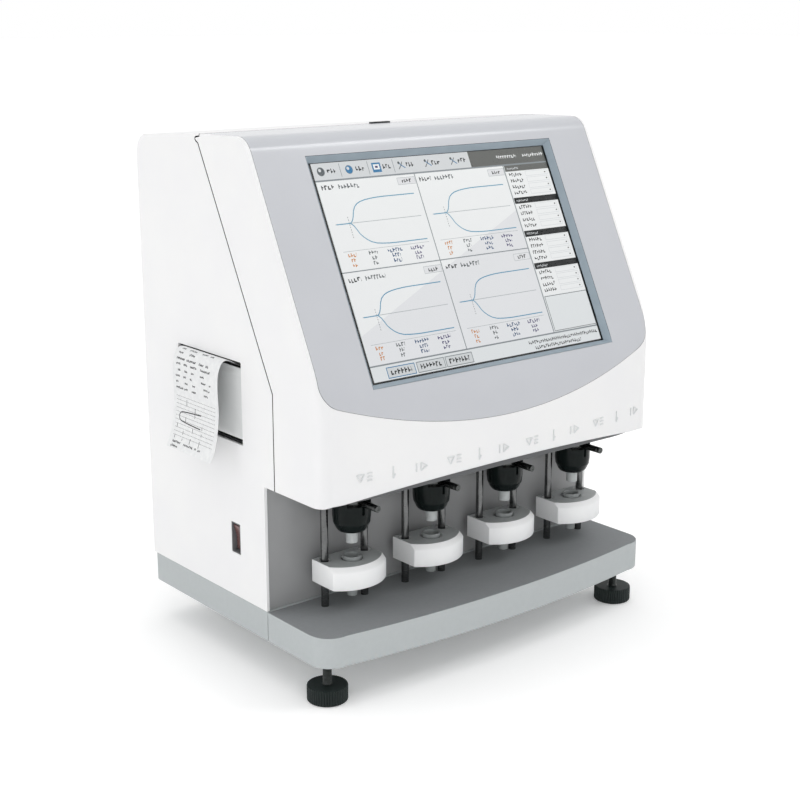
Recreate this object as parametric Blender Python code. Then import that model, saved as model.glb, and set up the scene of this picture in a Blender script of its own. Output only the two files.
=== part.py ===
# A four-channel thromboelastograph: bench instrument with a tilted touch screen over an open
# measuring niche, a paper printer and a power switch in its left side.
# Metres. Z is the height above the bench, Y runs back from the foremost point of the base,
# X = 0 is the plane half way between the two sides.
import math

import bmesh
import bpy

# Fits
gap = 0.0003
slide_fit = 0.0003
overlap = 0.002
beyond = 0.020
round_steps = 24
small_steps = 16

# Base
base_width = 0.430
base_depth = 0.317
base_thickness = 0.030
base_underside = 0.041
front_bow = 0.0175
base_corner_radius = 0.022
base_rear_radius = 0.008
platform_depth = 0.105
bow_steps = 16
corner_steps = 5
base_top = base_underside + base_thickness
half_width = base_width / 2

# Levelling feet
foot_radius = 0.0195
foot_height = 0.0158
foot_edge = 0.0012
foot_grip_depth = 0.0006
foot_ridges = 20
stud_radius = 0.0044
stud_depth = 0.018
front_foot_inset = 0.021
front_foot_x = half_width - front_foot_inset
front_foot_y = 0.0388
rear_foot_inset = 0.039
rear_foot_y = base_depth - rear_foot_inset

# Shell
wall = 0.003
cover_lead = 0.0015
cover_corner_radius = 0.012
crease_blend = 0.009
crease_row = 0.0040
cover_rise = 0.155
crease_rise = 0.2238
roof_rise = 0.4748
shell_underside = base_underside + cover_rise
crease_height = base_underside + crease_rise
roof_height = base_underside + roof_rise
slope_angle = math.radians(26.43)
roof_front_radius = 0.022
roof_round_steps = 6
arch_rise = 0.010
arch_half_width = 0.190
seam_half_gap = 0.0003
seam_y = 0.0882
seam_knee = 0.0924
seam_top_y = 0.1995
seam_top_drop = 0.0133
hook_reach = 0.0056
roof_seam_y = 0.1985
shell_rear_inset = 0.0004
shell_rear_y = base_depth - shell_rear_inset
rear_round_y = 0.0190
rear_round_z = 0.0205
rear_drop = 0.0073
rear_lip = 0.017
niche_edge_y = 0.1054

# Fascia
fascia_side_rim = 0.0035
fascia_half_width = half_width - fascia_side_rim
fascia_low_rise = 0.211
fascia_low = base_underside + fascia_low_rise
fascia_arc_rise = 0.036
fascia_arc_half_width = 0.203
fascia_corner_radius = 0.025

# Screen
screen_width = 0.3104
screen_slant = 0.2227
screen_centre = 0.1476
recess_depth = 0.0060
recess_taper = 0.0047
bezel_lip = 0.0007
bezel_flange = 0.004
bezel_flange_thickness = 0.0016
glass_thickness = 0.0015
glass_margin = 0.004
panel_width = 0.326
panel_slant = 0.244
panel_thickness = 0.012

# Niche
deck_thickness = 0.006
deck_lead = 0.015
deck_back_y = 0.118
niche_wall_y = 0.108
niche_wall_thickness = 0.003

# Channels
channels = 4
channel_pitch = 0.0994
channel_offset = 0.0103
head_y = 0.0717
rod_radius = 0.00375
rod_reach = 0.024
rod_y = 0.0833
rod_seat = 0.010
carriage_lift = 0.0242
carriage_thickness = 0.0225
carriage_half_width = 0.032
carriage_back_y = 0.0935
carriage_arc_y = 0.0904
carriage_arc_radius = 0.0446
carriage_chamfer = 0.0045
carriage_arc_steps = 12
rod_recess_radius = 0.006
rod_recess_depth = 0.003
cup_groove_radius = 0.01085
cup_groove_depth = 0.004
collar_radius = 0.00925
collar_height = 0.0221
collar_seat = 0.0038
collar_bore_radius = 0.007
collar_bore_depth = 0.017
collar_edge = 0.0006
spindle_radius = 0.005
spindle_drop = 0.0147
pin_radius = 0.00585
pin_drop = 0.0615
pin_shoulder_drop = 0.0236
pin_edge = 0.0006
stem_radius = 0.0022
stem_drop = 0.0046
head_radius = 0.0187
head_barrel_height = 0.0337
head_shoulder_radius = 0.0152
head_shoulder_height = 0.0462
head_rim_radius = 0.0132
head_height = 0.0487
head_bore_radius = 0.0064
head_stem_bore = 0.0033
head_stem_bore_drop = 0.0040
lever_drop = 0.0183
lever_hub_height = 0.0078
lever_hub_radius = 0.014
lever_bore_radius = 0.003
lever_radius = 0.00325
lever_length = 0.0408
lever_edge = 0.0005
lever_half_sweep = math.radians(50)
sweep_steps = 8
slit_width = 0.003
slit_depth = 0.0025
slit_height = 0.0087

# Printer
printer_front_y = 0.1395
printer_back_y = 0.2514
printer_low_rise = 0.187
printer_high_rise = 0.2675
printer_low = base_underside + printer_low_rise
printer_high = base_underside + printer_high_rise
printer_wall = 0.002
printer_inset = 0.004
printer_depth = 0.060
door_low_slot = 0.005
door_high_slot = 0.0065
door_thickness = 0.0034
door_side_gap = 0.0005
door_curve = 0.0012
door_hinge_inset = 0.0024
ear_thickness = 0.002
ear_reach = 0.0105
ear_height = 0.012
platen_radius = 0.004
platen_inset = 0.009
platen_drop = 0.0115
paper_width = 0.080
paper_thickness = 0.0003
roll_radius = 0.021
roll_core_radius = 0.006
roll_inset = 0.032
roll_drop = 0.0455
roll_stub_radius = 0.005
roll_stub_length = 0.022
# where the strip leaves the platen, as an angle from straight out of the side
paper_wrap_start = math.radians(165)
paper_wrap_end = math.radians(118)
paper_wrap_steps = 3
# how far the strip stands out of the side and below the top of its opening, in paper steps
paper_step = 0.001
paper_path_shares = (
    (-3.5, 3.6),
    (-1.0, 2.0),
    (2.2, 0.5),
    (6.1, -0.1),
    (9.2, 0.8),
    (11.1, 2.6),
    (14.0, 8.1),
    (15.5, 14.8),
    (16.2, 25.0),
    (15.9, 37.9),
    (15.7, 51.0),
    (16.9, 63.8),
    (18.9, 76.6),
    (21.7, 86.5),
    (26.2, 97.1),
)

# Power switch
switch_front_y = 0.1484
switch_back_y = 0.1640
switch_low_rise = 0.0748
switch_high_rise = 0.1060
switch_low = base_underside + switch_low_rise
switch_high = base_underside + switch_high_rise
switch_wall = 0.001
switch_depth = 0.019
switch_cavity_depth = 0.012
rocker_pivot_inset = 0.008
rocker_face = 0.0032
rocker_half_length = 0.0130
rocker_tilt = math.radians(8)
rocker_back = 0.0025
rocker_back_half_length = 0.006
rocker_side_gap = 0.0003

# Roof latch
latch_half_width = 0.0120
latch_depth = 0.0048
latch_sink = 0.0010
latch_height = 0.0078
latch_flange = 0.002
latch_flange_height = 0.0035

# Rear
rear_panel_thickness = 0.003
rear_panel_rise = 0.447
rear_panel_top = base_underside + rear_panel_rise
inlet_x = -0.150
inlet_rise = 0.075
inlet_height = base_underside + inlet_rise
inlet_width = 0.027
inlet_tall = 0.0195
inlet_wall = 0.0017
inlet_depth = 0.028
inlet_cavity_depth = 0.019
inlet_corner = 0.005
inlet_flange = 0.010
inlet_flange_thickness = 0.002
blade_length = 0.014
blade_thick = 0.002
blade_tall = 0.004
blade_reach = 0.007
blade_lift = 0.002
port_x = -0.096
port_width = 0.016
port_tall = 0.0135
port_wall = 0.0018
port_depth = 0.020
port_cavity_depth = 0.012
fan_x = 0.110
fan_rise = 0.280
fan_height = base_underside + fan_rise
fan_size = 0.080
fan_depth = 0.025
fan_bore_radius = 0.038
fan_strut_width = 0.005
fan_strut_depth = 0.003
fan_hub_radius = 0.016
fan_blades = 7
fan_tip_radius = 0.0365
fan_blade_thickness = 0.0016
fan_blade_twist = math.radians(38)
fan_tip_twist_share = 1.4
fan_rotor_depth = 0.018
fan_slots = 9
fan_slot_height = 0.005
fan_slot_pitch = 0.008
vent_slots = 8
vent_slot_width = 0.060
vent_slot_height = 0.004
vent_slot_pitch = 0.009
vent_x = 0.110
vent_rise = 0.075
vent_height = base_underside + vent_rise

# Electronics
tray_left = -0.110
tray_right = 0.190
tray_front_y = 0.125
tray_back_gap = 0.0416
tray_back_y = shell_rear_y - tray_back_gap
tray_height = 0.030
tray_sheet = 0.002
post_radius = 0.003
post_height = 0.008
post_steps = 8
board_left = 0.020
board_right = 0.180
board_inset = 0.010
board_front_y = tray_front_y + board_inset
board_back_y = tray_back_y - board_inset
board_thickness = 0.0016
board_margin = 0.008
heat_sink_size = 0.040
heat_sink_height = 0.020
connector_width = 0.050
connector_depth = 0.008
connector_height = 0.010
supply_left = -0.100
supply_right = 0.000
supply_inset = 0.015
supply_front_y = tray_front_y + supply_inset
supply_back_y = tray_back_y - supply_inset
supply_height = 0.040
sensor_board_half_width = 0.195
sensor_board_front_y = 0.030
sensor_board_back_y = 0.100
sensor_board_lift = 0.006
sensor_can_size = 0.022
sensor_can_height = 0.012


for old in list(bpy.data.objects):
    bpy.data.objects.remove(old)

origin = bpy.data.objects.new("rear_foot_pad_origin", None)
origin.location = (0, -rear_foot_y, 0)
bpy.context.scene.collection.objects.link(origin)


def material(name, colour, roughness, metallic=0.0):
    made = bpy.data.materials.new(name)
    made.use_nodes = True
    shader = made.node_tree.nodes["Principled BSDF"]
    shader.inputs["Base Color"].default_value = (*colour, 1.0)
    shader.inputs["Roughness"].default_value = roughness
    shader.inputs["Metallic"].default_value = metallic
    return made


white_paint = material("white_paint", (0.86, 0.86, 0.87), 0.45)
grey_paint = material("grey_paint", (0.52, 0.53, 0.54), 0.40)
base_metal = material("base_metal", (0.47, 0.48, 0.46), 0.50, 0.3)
black_metal = material("black_metal", (0.018, 0.020, 0.019), 0.35, 0.2)
lever_steel = material("lever_steel", (0.10, 0.10, 0.11), 0.25, 1.0)
rod_steel = material("rod_steel", (0.62, 0.62, 0.63), 0.18, 1.0)
white_plastic = material("white_plastic", (0.78, 0.79, 0.79), 0.40)
pale_plastic = material("pale_plastic", (0.60, 0.62, 0.62), 0.35)
black_plastic = material("black_plastic", (0.022, 0.022, 0.023), 0.50)
bezel_plastic = material("bezel_plastic", (0.24, 0.30, 0.35), 0.45)
screen_glass = material("screen_glass", (0.03, 0.03, 0.03), 0.08)
panel_metal = material("panel_metal", (0.50, 0.51, 0.52), 0.40, 1.0)
board_green = material("board_green", (0.02, 0.12, 0.05), 0.50)
paper_white = material("paper_white", (0.80, 0.80, 0.80), 0.80)
rocker_red = material("rocker_red", (0.10, 0.025, 0.025), 0.40)
platen_rubber = material("platen_rubber", (0.020, 0.020, 0.021), 0.75)
fan_plastic = material("fan_plastic", (0.018, 0.018, 0.019), 0.45)


def arc(centre_a, centre_b, radius, start, stop, steps):
    turn = (stop - start) / steps
    angles = [start + turn * step for step in range(steps + 1)]
    return [
        (centre_a + radius * math.cos(angle), centre_b + radius * math.sin(angle))
        for angle in angles
    ]


def prism(outline, low, high, axis):
    place = {
        "X": lambda a, b, c: (c, a, b),
        "Y": lambda a, b, c: (a, c, b),
        "Z": lambda a, b, c: (a, b, c),
    }[axis]
    count = len(outline)
    points = [place(a, b, low) for a, b in outline]
    points += [place(a, b, high) for a, b in outline]
    faces = [tuple(range(count)), tuple(range(count, 2 * count))]
    for corner in range(count):
        following = (corner + 1) % count
        faces.append((corner, following, following + count, corner + count))
    return points, faces


def block(left, right, front, back, low, high):
    outline = [(left, front), (right, front), (right, back), (left, back)]
    return prism(outline, low, high, "Z")


def loft(rings, closed=False):
    count = len(rings[0])
    points = [point for ring in rings for point in ring]
    faces = []
    bands = len(rings) if closed else len(rings) - 1
    for band in range(bands):
        near = band * count
        far = (band + 1) % len(rings) * count
        for corner in range(count):
            following = (corner + 1) % count
            faces.append((near + corner, near + following, far + following, far + corner))
    if not closed:
        faces.append(tuple(range(count)))
        faces.append(tuple(range(len(points) - count, len(points))))
    return points, faces


# a profile of (radius, height) pairs turned about an upright line; it starts and ends on that
# line, or else closes on itself round a bore
def turned(profile, centre_x, centre_y, steps):
    points = []
    rings = []
    for radius, height in profile:
        start = len(points)
        if radius == 0:
            points.append((centre_x, centre_y, height))
            rings.append([start] * steps)
            continue
        for x, y in arc(centre_x, centre_y, radius, 0, 2 * math.pi, steps)[:-1]:
            points.append((x, y, height))
        rings.append(list(range(start, start + steps)))
    pairs = list(zip(rings, rings[1:]))
    if profile[0][0] > 0:
        pairs.append((rings[-1], rings[0]))
    faces = []
    for lower, upper in pairs:
        for step in range(steps):
            following = (step + 1) % steps
            corners = [lower[step], lower[following], upper[following], upper[step]]
            corners = list(dict.fromkeys(corners))
            if len(corners) > 2:
                faces.append(tuple(corners))
    return points, faces


def rod(centre, radius, low, high, steps, axis):
    outline = arc(centre[0], centre[1], radius, 0, 2 * math.pi, steps)[:-1]
    return prism(outline, low, high, axis)


def together(*shapes):
    points = []
    faces = []
    for more_points, more_faces in shapes:
        start = len(points)
        points += more_points
        faces += [tuple(start + corner for corner in face) for face in more_faces]
    return points, faces


def add(name, shape, finish=None, pivot=(0, 0, 0)):
    points, faces = shape
    mesh = bpy.data.meshes.new(name)
    moved = [tuple(value - pivot[axis] for axis, value in enumerate(point)) for point in points]
    mesh.from_pydata(moved, [], faces)
    shaped = bmesh.new()
    shaped.from_mesh(mesh)
    bmesh.ops.recalc_face_normals(shaped, faces=shaped.faces)
    shaped.to_mesh(mesh)
    shaped.free()
    made = bpy.data.objects.new(name, mesh)
    made.location = pivot
    made.parent = origin
    if finish:
        mesh.materials.append(finish)
    bpy.context.scene.collection.objects.link(made)
    return made


def shade_round(made):
    made.data.shade_smooth()
    made.data.set_sharp_from_angle(angle=math.radians(30))


def combine(target, shape, operation):
    helper = add(target.name + "_" + operation.lower(), shape)
    helper.hide_render = True
    helper.display_type = "WIRE"
    step = target.modifiers.new(operation.lower(), "BOOLEAN")
    step.operation = operation
    step.solver = "EXACT"
    step.object = helper
    return helper


def cut(target, *shapes):
    combine(target, together(*shapes), "DIFFERENCE")


def join(target, *shapes):
    for shape in shapes:
        combine(target, shape, "UNION")


def keep(target, shape):
    combine(target, shape, "INTERSECT")


def bow(x):
    return front_bow * (x / half_width) ** 2


# the bowed front edge from the left side to the right side, seen from above
def front_edge(inset, lead, radius):
    centre_x = half_width - inset - radius
    lean = math.atan(2 * front_bow * centre_x / half_width**2)
    reach = centre_x - radius * math.sin(lean)
    touch_y = lead + inset + bow(reach)
    corner = arc(
        centre_x,
        touch_y + radius * math.cos(lean),
        radius,
        -math.pi / 2 - lean,
        0,
        corner_steps,
    )
    middle = []
    for step in range(1, bow_steps):
        x = reach * (2 * step / bow_steps - 1)
        middle.append((x, lead + inset + bow(x)))
    left = [(-x, y) for x, y in reversed(corner)]
    return left + middle + corner


# Base
platform_back = platform_depth - gap / 2
platform_outline = front_edge(0, 0, base_corner_radius)
platform_outline += [(half_width, platform_back), (-half_width, platform_back)]
base_platform = add(
    "base_platform", prism(platform_outline, base_underside, base_top, "Z"), base_metal
)
rear_front = platform_depth + gap / 2
rear_corner_x = half_width - base_rear_radius
rear_corner_y = base_depth - base_rear_radius
rear_outline = [(-half_width, rear_front), (half_width, rear_front)]
rear_outline += arc(
    rear_corner_x, rear_corner_y, base_rear_radius, 0, math.pi / 2, corner_steps
)
rear_outline += arc(
    -rear_corner_x, rear_corner_y, base_rear_radius, math.pi / 2, math.pi, corner_steps
)
base_rear = add("base_rear", prism(rear_outline, base_underside, base_top, "Z"), base_metal)

# Levelling feet: knob and stud in one
def foot(name, x, y):
    steps = 2 * foot_ridges

    def ring(radius, grip, height):
        points = []
        for step in range(steps):
            angle = math.pi * step / foot_ridges
            reach = radius - grip * (step % 2)
            points.append((x + reach * math.cos(angle), y + reach * math.sin(angle), height))
        return points

    rings = [
        ring(foot_radius - foot_edge, 0, 0),
        ring(foot_radius, foot_grip_depth, foot_edge),
        ring(foot_radius, foot_grip_depth, foot_height - foot_edge),
        ring(foot_radius - foot_edge, 0, foot_height),
        ring(stud_radius, 0, foot_height),
        ring(stud_radius, 0, base_underside + stud_depth),
    ]
    made = add(name, loft(rings), black_plastic, (x, y, 0))
    shade_round(made)
    hole_top = base_underside + stud_depth + 2 * gap
    hole_radius = stud_radius + slide_fit
    return rod((x, y), hole_radius, base_underside - beyond, hole_top, round_steps, "Z")


left_socket = foot("foot_front_left", -front_foot_x, front_foot_y)
right_socket = foot("foot_front_right", front_foot_x, front_foot_y)
rear_socket = foot("foot_rear", 0, rear_foot_y)
cut(base_rear, rear_socket)

# Guide rods
channel_centres = [
    channel_offset + channel_pitch * (number - (channels - 1) / 2) for number in range(channels)
]
deck_top = shell_underside + deck_thickness
rod_holes = []
for number, centre in enumerate(channel_centres, 1):
    for side, x in (("left", centre - rod_reach), ("right", centre + rod_reach)):
        low = base_top - rod_seat + gap
        made = add(
            f"guide_rod_{side}_{number}",
            rod((x, rod_y), rod_radius, low, deck_top - gap, round_steps, "Z"),
            rod_steel,
        )
        shade_round(made)
        rod_holes.append((x, rod_y))
rod_sockets = [
    rod(place, rod_radius + slide_fit, base_top - rod_seat, base_top + beyond, round_steps, "Z")
    for place in rod_holes
]
cut(base_platform, left_socket, right_socket, *rod_sockets)

# Outer skin of the cover and fascia
slope_across = math.tan(slope_angle)


def skin_y(edge_y, slope_y):
    near = max(crease_blend - abs(edge_y - slope_y), 0) / crease_blend
    return max(edge_y, slope_y) + near**2 * crease_blend / 4


# the slope's own line from a lowest height up into the rounding below the roof
def slope_line(inset, lowest):
    radius = roof_front_radius - inset
    roof = roof_height - inset
    shift = inset / math.cos(slope_angle)
    meeting = (roof - crease_height) * slope_across + shift
    run = radius * math.tan((math.pi / 2 - slope_angle) / 2)
    centre_y = meeting + run
    heights = [lowest] + [crease_height + share * crease_row for share in crease_row_shares]
    line = [((height - crease_height) * slope_across + shift, height) for height in heights]
    start = math.pi - slope_angle
    for y, height in arc(centre_y, roof - radius, radius, start, math.pi / 2, roof_round_steps):
        line.append((y, height))
    return line


# rows close together where the slope leaves the bowed front
crease_row_shares = (-5, -3, -1, 1, 3, 5, 7, 9.5, 12.5, 16.25, 20, 24, 30)


def skin(inset, back_y, lowest):
    edge = front_edge(inset, cover_lead, cover_corner_radius - inset)
    rings = []
    for slope_y, height in slope_line(inset, lowest):
        ring = [(x, skin_y(y, slope_y), height) for x, y in edge]
        ring += [(edge[-1][0], back_y, height), (edge[0][0], back_y, height)]
        rings.append(ring)
    return rings


def offset_line(line, distance):
    shifted = []
    for index, (a, b) in enumerate(line):
        near = line[max(index - 1, 0) : index + 2]
        normals = []
        for first, second in zip(near, near[1:]):
            run_a = second[0] - first[0]
            run_b = second[1] - first[1]
            length = math.hypot(run_a, run_b)
            normals.append((run_b / length, -run_a / length))
        normal_a = sum(normal[0] for normal in normals)
        normal_b = sum(normal[1] for normal in normals)
        spread = distance * len(normals) / (normal_a**2 + normal_b**2)
        shifted.append((a + normal_a * spread, b + normal_b * spread))
    return shifted


seam_knee_height = shell_underside + seam_knee
seam_top_height = roof_height - seam_top_drop
hook_step = hook_reach / 4
seam = [
    (seam_y, shell_underside - beyond),
    (seam_y, seam_knee_height),
    (seam_top_y, seam_top_height),
    (seam_top_y + 3 * hook_step, seam_top_height + 2 * hook_step),
    (seam_top_y + hook_reach, seam_top_height + hook_reach - hook_step),
    (seam_top_y + 2 * hook_step, roof_height - wall - 2 * gap),
    (roof_seam_y, roof_height - wall - gap),
    (roof_seam_y, roof_height + beyond),
]
cover_seam = offset_line(seam, -seam_half_gap)
housing_seam = offset_line(seam, seam_half_gap)
cover_back_y = seam_top_y + hook_reach + beyond


def slice_across(outline, reach):
    return prism(outline, -reach, reach, "X")


def shell_sheet(name, finish):
    made = add(name, loft(skin(0, cover_back_y, shell_underside)), finish)
    inner = skin(wall, cover_back_y + beyond, shell_underside - beyond)
    behind = cover_seam + [(cover_back_y + beyond, roof_height + beyond)]
    behind.append((cover_back_y + beyond, shell_underside - beyond))
    cut(made, loft(inner))
    cut(made, slice_across(behind, half_width + beyond))
    return made


def fascia_outline(inset):
    side = fascia_half_width - inset
    radius = fascia_corner_radius
    centre_x = side - radius

    def low(x):
        return fascia_low + inset + fascia_arc_rise * (x / fascia_arc_half_width) ** 2

    lean = math.atan(2 * fascia_arc_rise * centre_x / fascia_arc_half_width**2)
    reach = centre_x + radius * math.sin(lean)
    corner = arc(
        centre_x, low(reach) + radius * math.cos(lean), radius, lean - math.pi / 2, 0, corner_steps
    )
    middle = []
    for step in range(1, bow_steps):
        x = reach * (2 * step / bow_steps - 1)
        middle.append((x, low(x)))
    left = [(-x, height) for x, height in reversed(corner)]
    top = roof_height + beyond
    return left + middle + corner + [(side, top), (-side, top)]


# Front cover: white band under the screen and both cheeks
front_cover = shell_sheet("front_cover", white_paint)
arch = [(arch_half_width, shell_underside - beyond), (-arch_half_width, shell_underside - beyond)]
for step in range(bow_steps + 1):
    share = 2 * step / bow_steps - 1
    arch.append((share * arch_half_width, shell_underside + arch_rise * (1 - share**2)))
cut(front_cover, prism(arch, -beyond, seam_y / 2, "Y"))
cut(front_cover, prism(fascia_outline(0), -beyond, cover_back_y + 2 * beyond, "Y"))
shade_round(front_cover)

# Fascia over the slope and the front of the roof
fascia = shell_sheet("fascia_panel", grey_paint)
keep(fascia, prism(fascia_outline(gap), -beyond, cover_back_y + 2 * beyond, "Y"))


# a point of the slope: across it, up it from the crease, and in behind it
def on_slope(x, up, behind):
    y = up * math.sin(slope_angle) + behind * math.cos(slope_angle)
    height = crease_height + up * math.cos(slope_angle) - behind * math.sin(slope_angle)
    return x, y, height


def screen_ring(margin, behind):
    across = screen_width / 2 + margin
    slant = screen_slant / 2 + margin
    corners = ((-across, -slant), (across, -slant), (across, slant), (-across, slant))
    return [on_slope(x, screen_centre + up, behind) for x, up in corners]


cut(fascia, loft([screen_ring(0, -beyond), screen_ring(0, beyond)]))
shade_round(fascia)

# Screen
bezel_back = recess_depth + bezel_lip
flange_front = bezel_back - bezel_flange_thickness
bezel_rings = [
    screen_ring(-gap, 0),
    screen_ring(-gap - bezel_lip, 0),
    screen_ring(-gap - recess_taper, recess_depth),
    screen_ring(-gap - recess_taper, bezel_back),
    screen_ring(bezel_flange, bezel_back),
    screen_ring(bezel_flange, flange_front),
    screen_ring(-gap, flange_front),
]
add("screen_bezel", loft(bezel_rings, closed=True), bezel_plastic)
glass_front = bezel_back + gap
glass_back = glass_front + glass_thickness
glass_rings = [screen_ring(glass_margin, glass_front), screen_ring(glass_margin, glass_back)]
add("touch_glass", loft(glass_rings), screen_glass)


def panel_ring(behind):
    across = panel_width / 2
    slant = panel_slant / 2
    corners = ((-across, -slant), (across, -slant), (across, slant), (-across, slant))
    return [on_slope(x, screen_centre + up, behind) for x, up in corners]


panel_front = glass_back + gap
add(
    "lcd_panel",
    loft([panel_ring(panel_front), panel_ring(panel_front + panel_thickness)]),
    black_plastic,
)

# Rear housing
rear_arc_y = shell_rear_y - rear_round_y
rear_arc_height = roof_height - rear_drop - rear_round_z


def rear_profile(inset):
    points = []
    for step in range(roof_round_steps + 1):
        angle = math.pi / 2 * step / roof_round_steps
        y = rear_arc_y + (rear_round_y - inset) * math.sin(angle)
        points.append((y, rear_arc_height + (rear_round_z - inset) * math.cos(angle)))
    return points


housing_outline = [(niche_edge_y, base_top + gap), (niche_edge_y, shell_underside)]
housing_outline.append((housing_seam[0][0], shell_underside))
housing_outline += housing_seam[1:-1]
housing_outline.append((housing_seam[-1][0], roof_height))
housing_outline += rear_profile(0)
housing_outline.append((shell_rear_y, base_top + gap))
rear_housing = add("rear_housing", slice_across(housing_outline, half_width), white_paint)
inner_half_width = half_width - wall
hollow = [(-beyond, base_underside), (-beyond, roof_height - wall), (roof_seam_y, roof_height - wall)]
hollow += rear_profile(wall)
lip_low = rear_arc_height - rear_lip
hollow.append((shell_rear_y - wall, lip_low))
hollow.append((shell_rear_y + beyond, lip_low))
hollow.append((shell_rear_y + beyond, base_underside))
cut(rear_housing, slice_across(hollow, inner_half_width))
outside = -half_width - beyond
side_openings = together(
    block(
        outside, beyond - half_width, printer_front_y, printer_back_y, printer_low, printer_high
    ),
    block(outside, beyond - half_width, switch_front_y, switch_back_y, switch_low, switch_high),
)
latch_reach = latch_half_width + gap
latch_back = roof_seam_y + seam_half_gap + latch_depth
latch_notch = block(
    -latch_reach,
    latch_reach,
    roof_seam_y - beyond,
    latch_back + gap,
    roof_height - 2 * wall,
    roof_height + beyond,
)
cut(rear_housing, together(side_openings, latch_notch))
shade_round(rear_housing)

# Roof latch: a press button in the roof joint
button_top = roof_height - latch_sink
button_low = button_top - latch_height
latch_front = roof_seam_y + seam_half_gap
flange_reach = latch_half_width + latch_flange
latch = add(
    "roof_latch",
    block(-latch_half_width, latch_half_width, latch_front, latch_back, button_low, button_top),
    black_plastic,
    (0, latch_front, button_low),
)
join(
    latch,
    block(
        -flange_reach,
        flange_reach,
        latch_front + gap,
        latch_back + latch_flange,
        button_low - gap,
        button_low + latch_flange_height,
    ),
)

# Niche: deck over it and wall behind it
niche_half_width = inner_half_width - gap
deck_edge = front_edge(wall + gap, cover_lead, cover_corner_radius - wall - gap)
deck_outline = [(x, max(y, deck_lead)) for x, y in deck_edge]
deck_outline += [(niche_half_width, deck_back_y), (-niche_half_width, deck_back_y)]
head_deck = add("head_deck", prism(deck_outline, shell_underside, deck_top, "Z"), grey_paint)
deck_holes = [
    rod(
        place,
        rod_radius + slide_fit,
        shell_underside - beyond,
        deck_top + beyond,
        round_steps,
        "Z",
    )
    for place in rod_holes
]
cut(head_deck, *deck_holes)
add(
    "niche_wall",
    block(
        -niche_half_width,
        niche_half_width,
        niche_wall_y,
        niche_wall_y + niche_wall_thickness,
        base_top + gap,
        shell_underside - gap,
    ),
    grey_paint,
)

# Carriages
carriage_low = base_top + carriage_lift
carriage_high = carriage_low + carriage_thickness
collar_low = carriage_low + collar_seat + gap
for number, centre in enumerate(channel_centres, 1):

    def carriage_ring(trim, height):
        ring = []
        for step in range(carriage_arc_steps + 1):
            x = carriage_half_width * (2 * step / carriage_arc_steps - 1)
            reach = math.sqrt((carriage_arc_radius - trim) ** 2 - x**2)
            ring.append((centre + x, carriage_arc_y - reach, height))
        ring.append((centre + carriage_half_width, carriage_back_y, height))
        ring.append((centre - carriage_half_width, carriage_back_y, height))
        return ring

    carriage = add(
        f"carriage_{number}",
        loft(
            [
                carriage_ring(0, carriage_low),
                carriage_ring(0, carriage_high - carriage_chamfer),
                carriage_ring(carriage_chamfer, carriage_high),
            ]
        ),
        white_plastic,
        (centre, head_y, carriage_low),
    )
    below = carriage_low - beyond
    above = carriage_high + beyond
    recess_low = carriage_high - rod_recess_depth
    rod_bore = rod_radius + slide_fit
    rod_profile = [
        (0, below),
        (rod_bore, below),
        (rod_bore, recess_low),
        (rod_recess_radius, recess_low),
        (rod_recess_radius, above),
        (0, above),
    ]
    spindle_bore = spindle_radius + slide_fit
    collar_pocket = collar_radius + slide_fit
    groove_low = carriage_high - cup_groove_depth
    cup_profile = [
        (0, below),
        (spindle_bore, below),
        (spindle_bore, collar_low - gap),
        (collar_pocket, collar_low - gap),
        (collar_pocket, groove_low),
        (cup_groove_radius, groove_low),
        (cup_groove_radius, above),
        (0, above),
    ]
    cut(
        carriage,
        turned(rod_profile, centre - rod_reach, rod_y, round_steps),
        turned(rod_profile, centre + rod_reach, rod_y, round_steps),
        turned(cup_profile, centre, head_y, round_steps),
    )
    shade_round(carriage)

# Cup holders: collar for the cup on a spindle
spindle_low = carriage_low - spindle_drop
collar_top = collar_low + collar_height
for number, centre in enumerate(channel_centres, 1):
    profile = [
        (0, spindle_low),
        (spindle_radius, spindle_low),
        (spindle_radius, collar_low),
        (collar_radius, collar_low),
        (collar_radius, collar_top - collar_edge),
        (collar_radius - collar_edge, collar_top),
        (collar_bore_radius, collar_top),
        (collar_bore_radius, collar_top - collar_bore_depth),
        (0, collar_top - collar_bore_depth),
    ]
    made = add(
        f"cup_holder_{number}",
        turned(profile, centre, head_y, round_steps),
        pale_plastic,
        (centre, head_y, collar_low),
    )
    shade_round(made)

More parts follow.
